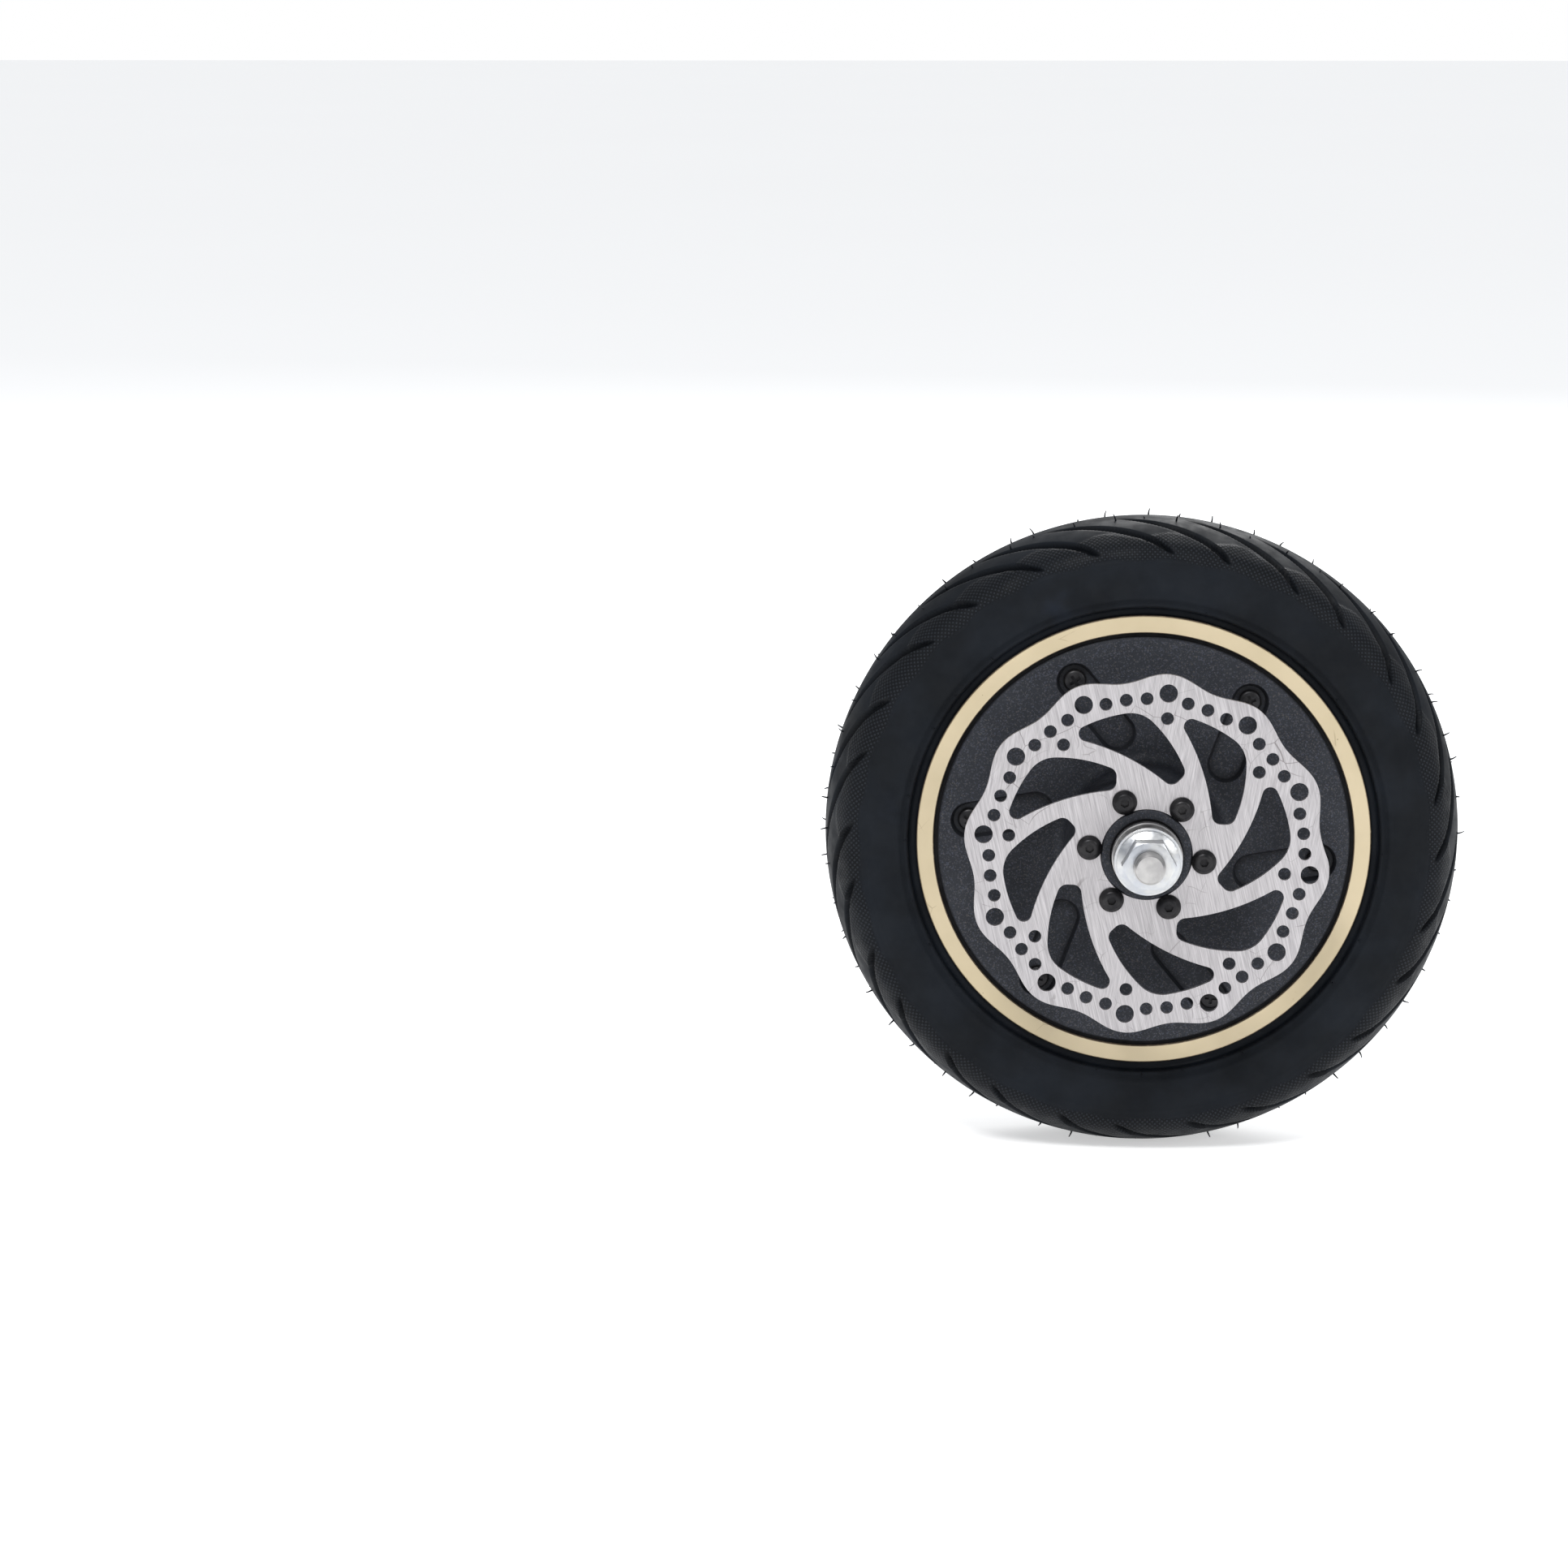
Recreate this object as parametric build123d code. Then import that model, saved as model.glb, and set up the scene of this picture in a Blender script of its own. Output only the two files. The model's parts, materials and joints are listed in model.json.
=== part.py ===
from build123d import *
import math
import os

os.makedirs("parts", exist_ok=True)

# Hub motor wheel. The axle lies along Y and the origin is the centre of the wheel.
# The brake disc is on the -Y side, the motor leads leave on the +Y side, and +Z is up.
# All sizes are in millimetres. Distances along the axle are given outwards from the
# wheel's mid-plane, and SIDE turns them into Y.
SIDE = {"brake_side": -1, "cable_side": 1}

# tyre and rim
TYRE_R = 124.0
TYRE_HALF_WIDTH = 30.0
TYRE_CROWN_THICKNESS = 6.8
TYRE_WALL_THICKNESS = 5.0
TYRE_SHOULDER = (115.6, 26.0)
TYRE_BELLY = (110.8, 21.4)
TYRE_RIDGE = (91.0, 27.4)
TYRE_WALL_R = 103.0
TYRE_WALL_FOOT = (91.0, 20.4)
TYRE_BEAD_TOE = (88.0, 16.2)
TYRE_BEAD_HALF = 13.7
BEAD_SEAT_R = 82.5
RIM_FLANGE_R = 88.0
RIM_FACE_Y = 26.0
RIM_RECESS_R = 81.4
RIM_RECESS_Y = 22.4
RIM_STEP_R = 77.7
RIM_LAND_Y = 19.5
RIM_WELL_R = 79.0
RIM_WELL_HALF = 7.0
RIM_HUMP_Y = 12.8
RIM_HUMP = 0.6
RIM_SEAT_END_Y = 20.6
RIM_EDGE_CHAMFER = 0.5
RIM_BORE_R = 62.5

# side covers
COVER_R = 79.8
COVER_INNER_Y = 20.4
COVER_FIT = 0.3
PILOT_WIDTH = 3.0
PILOT_Y = 18.2
COVER_SCREW_COUNT = 6
COVER_SCREW_R = 68.0
COVER_SCREW_ANGLE = -6.5
SCREW_R = 2.5
TAPPED_R = 2.55
SCREW_HEAD_R = 4.4
SCREW_HEAD_H = 2.6
SCREW_TIP_Y = 9.0
POCKET_DEPTH = 3.0
POCKET_HALF_WIDTH = 7.25
POCKET_FLOOR_HALF_WIDTH = 6.0
POCKET_INNER_R = 43.0
POCKET_SLANT = 7.2
BRAKE_BOSS_R = 28.5
BRAKE_BOSS_Y = 52.9
CABLE_BOSS_R = 24.0
CABLE_BOSS_Y = 46.0
BOSS_CHAMFER = 0.6
BOSS_BASE_GROWTH = 2.5
BOSS_BASE_FILLET = 5.0
BOSS_CAVITY_R = 19.0
BEARING_STOP_R = 12.6
BEARING_STOP_WIDTH = 1.5
SCREW_CLEARANCE = 0.2
CROSS_LENGTH = 4.6
CROSS_WIDTH = 1.15
CROSS_DEPTH = 1.7
SEAL_RING_WIDTH = 2.0

# brake disc
DISC_FACE_Y = 54.9
DISC_MEAN_R = 68.2
DISC_WAVE = 1.8
DISC_LOBES = 12
DISC_LOBE_ANGLE = -6.9
DISC_BORE_R = 17.6
DISC_SPIGOT_R = 17.4
DISC_SPIGOT_Y = 55.6
DISC_HOLE_R = 3.5
DISC_HOLE_RING_R = 62.7
DISC_SMALL_HOLE_R = 2.45
DISC_SMALL_RING_R = 60.2
DISC_INNER_RING_R = 53.1
DISC_WINDOWS = 8
DISC_WINDOW_ANGLE = -7.8
WINDOW_OUTER_R = 55.2
WINDOW_LEAD_ANGLE = -10.2
WINDOW_TRAIL_ANGLE = -42.2
WINDOW_LEAD_ROOT = (27.6, -64.5)
WINDOW_LEAD_MIDDLE = (40.2, -29.9)
WINDOW_TRAIL_ROOT = (34.6, -70.2)
WINDOW_TRAIL_MIDDLE = (46.6, -52.8)
DISC_BOLT_COUNT = 6
DISC_BOLT_R = 22.0
DISC_BOLT_ANGLE = -6.9
DISC_BOLT_HEAD_R = 4.75
DISC_BOLT_HEAD_H = 2.75
DISC_BOLT_TIP_Y = 43.5
DISC_BOLT_TOP_R = 3.2
DISC_BOLT_RIM_H = 0.7
HEX_SOCKET_HALF = 1.5
HEX_SOCKET_DEPTH = 1.6

# bearings, 15 x 32 x 9
BEARING_Y = 30.0
BEARING_WIDTH = 9.0
BEARING_BORE_R = 7.5
BEARING_INNER_R = 9.6
BEARING_OUTER_R = 16.0
BEARING_LAND_R = 13.9
BALL_PITCH_R = 11.75
BALL_R = 2.35
RACE_R = 2.5
BALL_COUNT = 9
BALL_START = 10.0
SHIELD_INNER_Y = 3.5
SHIELD_OUTER_Y = 4.1
SHIELD_GAP = 0.3
CAGE_HALF = 3.1
CAGE_THICKNESS = 1.3

# shaft seals and the sleeves they run on
SLEEVE_R = 11.0
SEAL_LIP_R = 11.06
SEAL_R = 14.0
SEAL_WIDTH = 5.0
SEAL_CASE_R = 12.2
SLEEVE_FLANGE_R = 13.5
SLEEVE_FLANGE_WIDTH = 3.5

# axle
AXLE_HALF_LENGTH = 86.0
AXLE_R = 8.5
AXLE_COLLAR_R = 10.5
AXLE_COLLAR_Y = 11.0
AXLE_COLLAR_WIDTH = 2.0
CIRCLIP_WIDTH = 1.2
CIRCLIP_HEIGHT = 2.2
CIRCLIP_GROOVE = 0.7
CIRCLIP_ARC = 320.0
KEY_WIDTH = 4.0
KEY_LENGTH = 16.0
LEAD_SLOT_WIDTH = 7.2
LEAD_SLOT_FROM = 16.5
LEAD_SLOT_TO = 29.0
LEAD_BORE_FROM = 18.0
THREAD_R = 6.0
FLATS_HALF = 5.0
DROPOUT_FACE_Y = 62.0
DROPOUT_GAP = 6.0
TAB_WASHER_THICKNESS = 2.0
TAB_WASHER_R = 13.0
TAB_WIDTH = 6.0
TAB_THICKNESS = 2.4
TAB_REACH = 3.5
NUT_HEIGHT = 10.0
NUT_ACROSS_FLATS = 18.0
NUT_FLANGE_R = 12.0
NUT_FLANGE_EDGE = 1.2
NUT_FLANGE_H = 3.0
NUT_CHAMFER = 0.8
LEAD_BORE_R = 4.0
GROMMET_BORE_R = 3.4
GROMMET_LENGTH = 8.0
GROMMET_LIP_R = 4.8
GROMMET_LIP = 1.5

# motor
STATOR_R = 54.0
STATOR_BORE_R = 37.0
STATOR_YOKE_R = 42.3
STACK_HALF = 14.0
TEETH = 27
TOOTH_HALF = 2.25
SHOE_INNER_R = 51.5
SLOT_OPENING_HALF = 1.1
INSULATOR_THICKNESS = 0.8
COIL_INNER_R = 43.0
COIL_DEPTH = 8.3
COIL_HALF_LENGTH = 17.5
COIL_WIDTH = 9.4
COIL_CORNER_R = 2.4
COIL_CLEARANCE = 0.1
CARRIER_HUB_R = 14.0
CARRIER_HUB_HALF = 11.0
CARRIER_WEB_HALF = 3.5
CARRIER_RIM_R = 33.0
CARRIER_HOLES = 6
CARRIER_HOLE_R = 5.0
CARRIER_HOLE_RING_R = 23.5
MAGNETS = 30
MAGNET_INNER_R = 54.7
MAGNET_OUTER_R = 57.6
MAGNET_ARC = 10.6
MAGNET_HALF = 15.0
YOKE_HALF = 17.0
LEAD_R = 1.0
LEAD_SPACING = 2.4
LEAD_Y = 18.6
LEAD_BEND_R = 6.0
LEAD_TOP_R = 45.0
LEAD_END_Y = 72.0
BOARD_INNER_R = 39.0
BOARD_THICKNESS = 1.4
BOARD_ARC = 70.0
BOTTOM_ANGLE = -90.0
SENSOR_SIZE = 4.0
SENSOR_THICKNESS = 1.6
SENSOR_GAP = 0.1

# tyre valve, leaning inwards on the cable side
VALVE_ANGLE = 83.5
VALVE_LEAN = 17.0
VALVE_FOOT_R = 78.6
VALVE_FOOT_Y = -1.0
VALVE_BASE_R = 6.5
VALVE_BASE_HEIGHT = 4.0
VALVE_R = 3.9
VALVE_TIP_R = 3.0
VALVE_BORE_R = 1.6
VALVE_SHOULDER = 29.5
VALVE_LENGTH = 38.5
CAP_R = 4.6
CAP_START = 30.0
CAP_LENGTH = 11.0
CAP_CHAMFER = 0.8
CORE_START = 26.0
CORE_END = 37.6
CORE_BORE_R = 0.75
PIN_R = 0.65
PIN_START = 28.0
PIN_END = 38.1

PITCH = 360.0 / TEETH


def turn(shape, degrees):
    """Turn a shape about the axle, anticlockwise as seen from the brake side."""
    return Rot(0, -degrees, 0) * shape


def polar(radius, degrees):
    return (radius * math.cos(math.radians(degrees)), radius * math.sin(math.radians(degrees)))


def bar(radius, y_from, y_to, x=0.0, z=0.0):
    """A round bar along the axle's direction."""
    return Pos(x, (y_from + y_to) / 2, z) * Rot(90, 0, 0) * Cylinder(radius, abs(y_to - y_from))


def bars(radius, y_from, y_to, pitch_radius, count, start):
    """Round bars on a circle about the axle."""
    made = []
    for index in range(count):
        x, z = polar(pitch_radius, start + index * 360 / count)
        made.append(bar(radius, y_from, y_to, x, z))
    return made


def plate(sketch, y_from, y_to):
    """A flat outline, drawn as seen from the brake side, given thickness along Y."""
    low, high = min(y_from, y_to), max(y_from, y_to)
    return extrude(Plane.XZ.offset(-high) * sketch, amount=high - low)


def section(points, side=1):
    return make_face(Polyline(*[(radius, side * y) for radius, y in points], close=True))


def rounded(face, point, radius):
    """Round the corner of a face that is nearest to a point."""
    target = Vector(*point)
    corner = min(face.vertices(), key=lambda vertex: (Vector(vertex) - target).length)
    return fillet(corner, radius)


def turned(face, arc=360.0):
    return revolve(face, axis=Axis.Y, revolution_arc=arc)


def turned_points(points, side=1, arc=360.0):
    return turned(section(points, side), arc)


def tube(inner, outer, y_from, y_to):
    return turned_points([(inner, y_from), (outer, y_from), (outer, y_to), (inner, y_to)])


def save(name, *shapes):
    """Write one sub-part. Several shapes are kept as separate solids of one node."""
    solids = []
    for shape in shapes:
        solids.extend(shape.solids())
    body = solids[0] if len(solids) == 1 else Compound(children=solids)
    export_step(body, f"parts/{name}.step")


# ---------------------------------------------------------------- tyre and rim


def tyre():
    """An open-bellied tubeless tyre: round crown, full shoulders and a ridge beside the rim."""
    half = TYRE_HALF_WIDTH
    inner_half = half - TYRE_WALL_THICKNESS
    crown_r = TYRE_R - TYRE_CROWN_THICKNESS
    middle_r = TYRE_WALL_R - 1.5

    def mirrored(point):
        return (point[0], -point[1])

    def bead(sign):
        points = [TYRE_WALL_FOOT, TYRE_BEAD_TOE, (BEAD_SEAT_R, TYRE_BEAD_HALF)]
        points += [(BEAD_SEAT_R, RIM_SEAT_END_Y), (84.0, 21.9), (RIM_FLANGE_R + 0.15, 23.45)]
        points += [(RIM_FLANGE_R + 0.4, 24.8), TYRE_RIDGE]
        return Polyline(*[(radius, sign * y) for radius, y in points])

    outside = [
        ThreePointArc(TYRE_RIDGE, (TYRE_WALL_R, half), TYRE_SHOULDER),
        ThreePointArc(TYRE_SHOULDER, (TYRE_R, 0), mirrored(TYRE_SHOULDER)),
        ThreePointArc(mirrored(TYRE_SHOULDER), (TYRE_WALL_R, -half), mirrored(TYRE_RIDGE)),
    ]
    inside = [
        ThreePointArc(TYRE_WALL_FOOT, (middle_r, inner_half), TYRE_BELLY),
        ThreePointArc(TYRE_BELLY, (crown_r, 0), mirrored(TYRE_BELLY)),
        ThreePointArc(mirrored(TYRE_BELLY), (middle_r, -inner_half), mirrored(TYRE_WALL_FOOT)),
    ]
    outline = Curve() + [bead(1), bead(-1)] + outside + inside
    return turned(make_face(outline))


def rim_half_section(sign):
    points = [
        (RIM_WELL_R, RIM_WELL_HALF),
        (BEAD_SEAT_R, RIM_HUMP_Y - 0.7),
        (BEAD_SEAT_R + RIM_HUMP, RIM_HUMP_Y),
        (BEAD_SEAT_R, RIM_HUMP_Y + 0.7),
        (BEAD_SEAT_R, RIM_SEAT_END_Y),
        (84.0, 21.9),
        (RIM_FLANGE_R, 23.4),
        (RIM_FLANGE_R, RIM_FACE_Y - RIM_EDGE_CHAMFER),
        (RIM_FLANGE_R - RIM_EDGE_CHAMFER, RIM_FACE_Y),
        (RIM_RECESS_R + 0.3, RIM_FACE_Y),
        (RIM_RECESS_R, RIM_FACE_Y - 0.3),
        (RIM_RECESS_R, RIM_RECESS_Y),
        (RIM_STEP_R, RIM_RECESS_Y),
        (RIM_STEP_R, RIM_LAND_Y),
        (RIM_BORE_R, RIM_LAND_Y),
    ]
    return [(radius, sign * y) for radius, y in points]


def rim():
    """Cast aluminium rim that is also the motor's shell, with a step on each side for a cover."""
    shell = turned_points(rim_half_section(1) + rim_half_section(-1)[::-1])
    for side in SIDE.values():
        y_from, y_to = side * (RIM_LAND_Y + 1.0), side * (SCREW_TIP_Y - 1.5)
        shell -= bars(TAPPED_R, y_from, y_to, COVER_SCREW_R, COVER_SCREW_COUNT, COVER_SCREW_ANGLE)
    shell -= valve_rod(VALVE_R + 0.1, -1.0, 40.0)
    shell -= valve_rod(VALVE_BASE_R + 0.2, -14.0, 0.0)
    return shell


# ---------------------------------------------------------------- side covers


def cover_section(side, boss_r, boss_y, front):
    """Half section of a cover. The front points finish the boss, outside to inside."""
    base_r = boss_r + BOSS_BASE_GROWTH
    bearing_end = BEARING_Y + BEARING_WIDTH
    points = [
        (BOSS_CAVITY_R, COVER_INNER_Y),
        (RIM_BORE_R - 0.1 - PILOT_WIDTH, COVER_INNER_Y),
        (RIM_BORE_R - 0.1 - PILOT_WIDTH, PILOT_Y),
        (RIM_BORE_R - 0.1, PILOT_Y),
        (RIM_BORE_R - 0.1, RIM_LAND_Y),
        (RIM_STEP_R - COVER_FIT, RIM_LAND_Y),
        (RIM_STEP_R - COVER_FIT, RIM_RECESS_Y),
        (COVER_R, RIM_RECESS_Y),
        (COVER_R, RIM_FACE_Y - BOSS_CHAMFER),
        (COVER_R - BOSS_CHAMFER, RIM_FACE_Y),
        (base_r, RIM_FACE_Y),
        (boss_r, boss_y - BOSS_CHAMFER),
        (boss_r - BOSS_CHAMFER, boss_y),
    ]
    points += front
    points += [
        (SEAL_R, bearing_end + BEARING_STOP_WIDTH),
        (BEARING_STOP_R, bearing_end + BEARING_STOP_WIDTH),
        (BEARING_STOP_R, bearing_end),
        (BEARING_OUTER_R, bearing_end),
        (BEARING_OUTER_R, BEARING_Y - 0.5),
        (BOSS_CAVITY_R, BEARING_Y - 2.0),
    ]
    return rounded(section(points, side), (base_r, side * RIM_FACE_Y), BOSS_BASE_FILLET)


def pocket_outline(half_width):
    """A long round-ended pocket that leans off the radius, in radial and sideways terms."""
    inner = Vector(POCKET_INNER_R, -POCKET_SLANT)
    outer = Vector(COVER_SCREW_R, 0)
    middle = (inner + outer) * 0.5
    reach = outer - inner
    lean = math.degrees(math.atan2(reach.Y, reach.X))
    return Pos(middle.X, middle.Y) * Rot(0, 0, lean) * SlotCenterToCenter(reach.length, 2 * half_width)


def pocket(side):
    """The space of one pocket, with walls that slope in towards its floor."""
    face_y = side * RIM_FACE_Y
    floor_y = side * (RIM_FACE_Y - POCKET_DEPTH)
    mouth = Plane.XZ.offset(-face_y) * pocket_outline(POCKET_HALF_WIDTH)
    floor = Plane.XZ.offset(-floor_y) * pocket_outline(POCKET_FLOOR_HALF_WIDTH)
    return loft([mouth.face(), floor.face()])


def with_pockets(cover, side):
    shape = pocket(side)
    for index in range(COVER_SCREW_COUNT):
        cover -= turn(shape, COVER_SCREW_ANGLE + index * 360 / COVER_SCREW_COUNT)
    y_from, y_to = side * (RIM_LAND_Y - 1), side * RIM_FACE_Y
    hole_r = SCREW_R + SCREW_CLEARANCE
    return cover - bars(hole_r, y_from, y_to, COVER_SCREW_R, COVER_SCREW_COUNT, COVER_SCREW_ANGLE)


def brake_side_cover():
    """Cover with a tall boss that carries the brake disc on a spigot."""
    side = SIDE["brake_side"]
    front = [
        (DISC_SPIGOT_R, BRAKE_BOSS_Y),
        (DISC_SPIGOT_R, DISC_SPIGOT_Y - 0.5),
        (DISC_SPIGOT_R - 0.5, DISC_SPIGOT_Y),
        (SEAL_R, DISC_SPIGOT_Y),
    ]
    cover = turned(cover_section(side, BRAKE_BOSS_R, BRAKE_BOSS_Y, front))
    cover = with_pockets(cover, side)
    y_from, y_to = side * (DISC_BOLT_TIP_Y - 1.5), side * (BRAKE_BOSS_Y + 1)
    return cover - bars(TAPPED_R, y_from, y_to, DISC_BOLT_R, DISC_BOLT_COUNT, DISC_BOLT_ANGLE)


def cable_side_cover():
    """Cover with a short boss, and a hole that the tyre valve passes through."""
    side = SIDE["cable_side"]
    front = [(SEAL_R, CABLE_BOSS_Y)]
    cover = turned(cover_section(side, CABLE_BOSS_R, CABLE_BOSS_Y, front))
    cover = with_pockets(cover, side)
    return cover - valve_rod(VALVE_R + 0.9, 10.0, 40.0)


def cover_seal_ring(side):
    """Rubber ring that closes the gap between a cover's edge and the rim."""
    y_from, y_to = side * RIM_RECESS_Y, side * (RIM_RECESS_Y + SEAL_RING_WIDTH)
    return tube(COVER_R + 0.05, RIM_RECESS_R - 0.05, y_from, y_to)


def cross_recess(y_from, y_to):
    """The space of a cross-shaped screwdriver recess."""
    cross = Rectangle(CROSS_LENGTH, CROSS_WIDTH) + Rectangle(CROSS_WIDTH, CROSS_LENGTH)
    return plate(cross, y_from, y_to)


def cover_screws(side):
    """Pan-head screws with a cross recess, one in the outer end of each pocket."""
    seat = RIM_FACE_Y - POCKET_DEPTH
    top = seat + SCREW_HEAD_H
    head = [(0, seat), (SCREW_HEAD_R, seat), (SCREW_HEAD_R, top - 1.2), (0, top)]
    face = section(head, side)
    face = rounded(face, (SCREW_HEAD_R, side * (top - 1.2)), 1.4)
    screw = turned(face) + bar(SCREW_R, side * seat, side * SCREW_TIP_Y)
    screw -= cross_recess(side * (top - CROSS_DEPTH), side * (top + 1))
    made = []
    for index in range(COVER_SCREW_COUNT):
        angle = COVER_SCREW_ANGLE + index * 360 / COVER_SCREW_COUNT
        x, z = polar(COVER_SCREW_R, angle)
        made.append(Pos(x, 0, z) * turn(screw, 17.0 * index))
    return made


# ---------------------------------------------------------------- brake disc


def disc_outline():
    """A circle with one shallow wave for each large hole."""
    points = []
    steps = DISC_LOBES * 6
    for index in range(steps):
        angle = index * 360 / steps
        wave = math.cos(math.radians(DISC_LOBES * (angle - DISC_LOBE_ANGLE)))
        points.append(polar(DISC_MEAN_R + DISC_WAVE * wave, angle))
    return make_face(Spline(*points, periodic=True))


def disc_window():
    """One swept window: a round inner end, two long curved sides and a concentric outer side."""
    lead_tip = polar(WINDOW_OUTER_R, WINDOW_LEAD_ANGLE)
    trail_tip = polar(WINDOW_OUTER_R, WINDOW_TRAIL_ANGLE)
    lead_root, trail_root = polar(*WINDOW_LEAD_ROOT), polar(*WINDOW_TRAIL_ROOT)
    middle = polar(WINDOW_OUTER_R, (WINDOW_LEAD_ANGLE + WINDOW_TRAIL_ANGLE) / 2)
    leading = ThreePointArc(lead_root, polar(*WINDOW_LEAD_MIDDLE), lead_tip)
    outer = ThreePointArc(lead_tip, middle, trail_tip)
    trailing = ThreePointArc(trail_tip, polar(*WINDOW_TRAIL_MIDDLE), trail_root)
    window = make_face(Curve() + [leading, outer, trailing, Line(trail_root, lead_root)])
    for corner, radius in ((lead_tip, 3.0), (trail_tip, 12.0), (lead_root, 3.4), (trail_root, 3.6)):
        window = rounded(window, corner, radius)
    return window


def brake_rotor():
    """Wave-edged brake disc with swept windows and three rings of holes."""
    disc = disc_outline() - Circle(DISC_BORE_R)
    window = disc_window()
    for index in range(DISC_WINDOWS):
        disc -= Rot(0, 0, index * 360 / DISC_WINDOWS) * window
    disc -= PolarLocations(DISC_HOLE_RING_R, DISC_LOBES, DISC_LOBE_ANGLE) * Circle(DISC_HOLE_R)
    small = Circle(DISC_SMALL_HOLE_R)
    for step in (1, 2, 3):
        start = DISC_LOBE_ANGLE + step * 360 / DISC_LOBES / 4
        disc -= PolarLocations(DISC_SMALL_RING_R, DISC_LOBES, start) * small
    disc -= PolarLocations(DISC_INNER_RING_R, DISC_WINDOWS, DISC_WINDOW_ANGLE) * small
    disc -= PolarLocations(DISC_BOLT_R, DISC_BOLT_COUNT, DISC_BOLT_ANGLE) * Circle(SCREW_R + 0.15)
    side = SIDE["brake_side"]
    return plate(disc, side * BRAKE_BOSS_Y, side * DISC_FACE_Y)


def rotor_bolts():
    """Button-head bolts with a hexagon socket."""
    side = SIDE["brake_side"]
    top = DISC_FACE_Y + DISC_BOLT_HEAD_H
    head = [(0, DISC_FACE_Y), (DISC_BOLT_HEAD_R, DISC_FACE_Y)]
    head += [(DISC_BOLT_HEAD_R, DISC_FACE_Y + DISC_BOLT_RIM_H), (DISC_BOLT_TOP_R, top), (0, top)]
    face = rounded(section(head, side), (DISC_BOLT_TOP_R, side * top), 1.5)
    bolt = turned(face) + bar(SCREW_R, side * DISC_FACE_Y, side * DISC_BOLT_TIP_Y)
    socket = RegularPolygon(HEX_SOCKET_HALF, 6, major_radius=False)
    bolt -= plate(socket, side * (top - HEX_SOCKET_DEPTH), side * (top + 1))
    made = []
    for index in range(DISC_BOLT_COUNT):
        x, z = polar(DISC_BOLT_R, DISC_BOLT_ANGLE + index * 360 / DISC_BOLT_COUNT)
        made.append(Pos(x, 0, z) * turn(bolt, 13.0 * index))
    return made


# ---------------------------------------------------------------- bearings and seals


def races(side):
    """The ring-shaped space that the balls run in."""
    middle = side * (BEARING_Y + BEARING_WIDTH / 2)
    return Pos(0, middle, 0) * Rot(90, 0, 0) * Torus(BALL_PITCH_R, RACE_R)


def bearing_inner_ring(side):
    y_from, y_to = side * BEARING_Y, side * (BEARING_Y + BEARING_WIDTH)
    return tube(BEARING_BORE_R, BEARING_INNER_R, y_from, y_to) - races(side)


def bearing_outer_ring(side):
    y_from, y_to = side * BEARING_Y, side * (BEARING_Y + BEARING_WIDTH)
    return tube(BEARING_LAND_R, BEARING_OUTER_R, y_from, y_to) - races(side)


def bearing_shields(side):
    """Two thin sealing rings held by the outer ring, just clear of the inner one."""
    middle = BEARING_Y + BEARING_WIDTH / 2
    made = []
    for way in (-1, 1):
        y_from, y_to = side * (middle + way * SHIELD_INNER_Y), side * (middle + way * SHIELD_OUTER_Y)
        made.append(tube(BEARING_INNER_R + SHIELD_GAP, BEARING_LAND_R, y_from, y_to))
    return made


def bearing_balls(side):
    middle = side * (BEARING_Y + BEARING_WIDTH / 2)
    made = []
    for index in range(BALL_COUNT):
        x, z = polar(BALL_PITCH_R, BALL_START + index * 360 / BALL_COUNT)
        made.append(Pos(x, middle, z) * Sphere(BALL_R))
    return made


def bearing_cage(side):
    """A plain ring with a round radial hole for each ball."""
    middle = side * (BEARING_Y + BEARING_WIDTH / 2)
    half = CAGE_THICKNESS / 2
    ring = tube(BALL_PITCH_R - half, BALL_PITCH_R + half, middle - CAGE_HALF, middle + CAGE_HALF)
    hole = Pos(BALL_PITCH_R, middle, 0) * Rot(0, 90, 0) * Cylinder(BALL_R + 0.15, 6.0)
    for index in range(BALL_COUNT):
        ring -= turn(hole, BALL_START + index * 360 / BALL_COUNT)
    return ring


def shaft_seal(side, outer_y):
    """Rubber lip seal, pressed into a cover and running on the sleeve."""
    points = [
        (SEAL_R, outer_y - SEAL_WIDTH),
        (SEAL_R, outer_y),
        (SEAL_CASE_R, outer_y),
        (SEAL_LIP_R, outer_y - 1.6),
        (SEAL_LIP_R, outer_y - 2.4),
        (SEAL_CASE_R, outer_y - 3.6),
        (SEAL_CASE_R, outer_y - SEAL_WIDTH),
    ]
    return turned_points(points, side)


def axle_sleeve(side):
    """Sleeve from the bearing's inner ring out to the face that the frame clamps against."""
    points = [
        (BEARING_BORE_R, BEARING_Y + BEARING_WIDTH),
        (SLEEVE_R, BEARING_Y + BEARING_WIDTH),
        (SLEEVE_R, DROPOUT_FACE_Y - SLEEVE_FLANGE_WIDTH),
        (SLEEVE_FLANGE_R, DROPOUT_FACE_Y - SLEEVE_FLANGE_WIDTH),
        (SLEEVE_FLANGE_R, DROPOUT_FACE_Y - 0.4),
        (SLEEVE_FLANGE_R - 0.4, DROPOUT_FACE_Y),
        (BEARING_BORE_R, DROPOUT_FACE_Y),
    ]
    return turned_points(points, side)


# ---------------------------------------------------------------- axle and its fastenings


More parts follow.
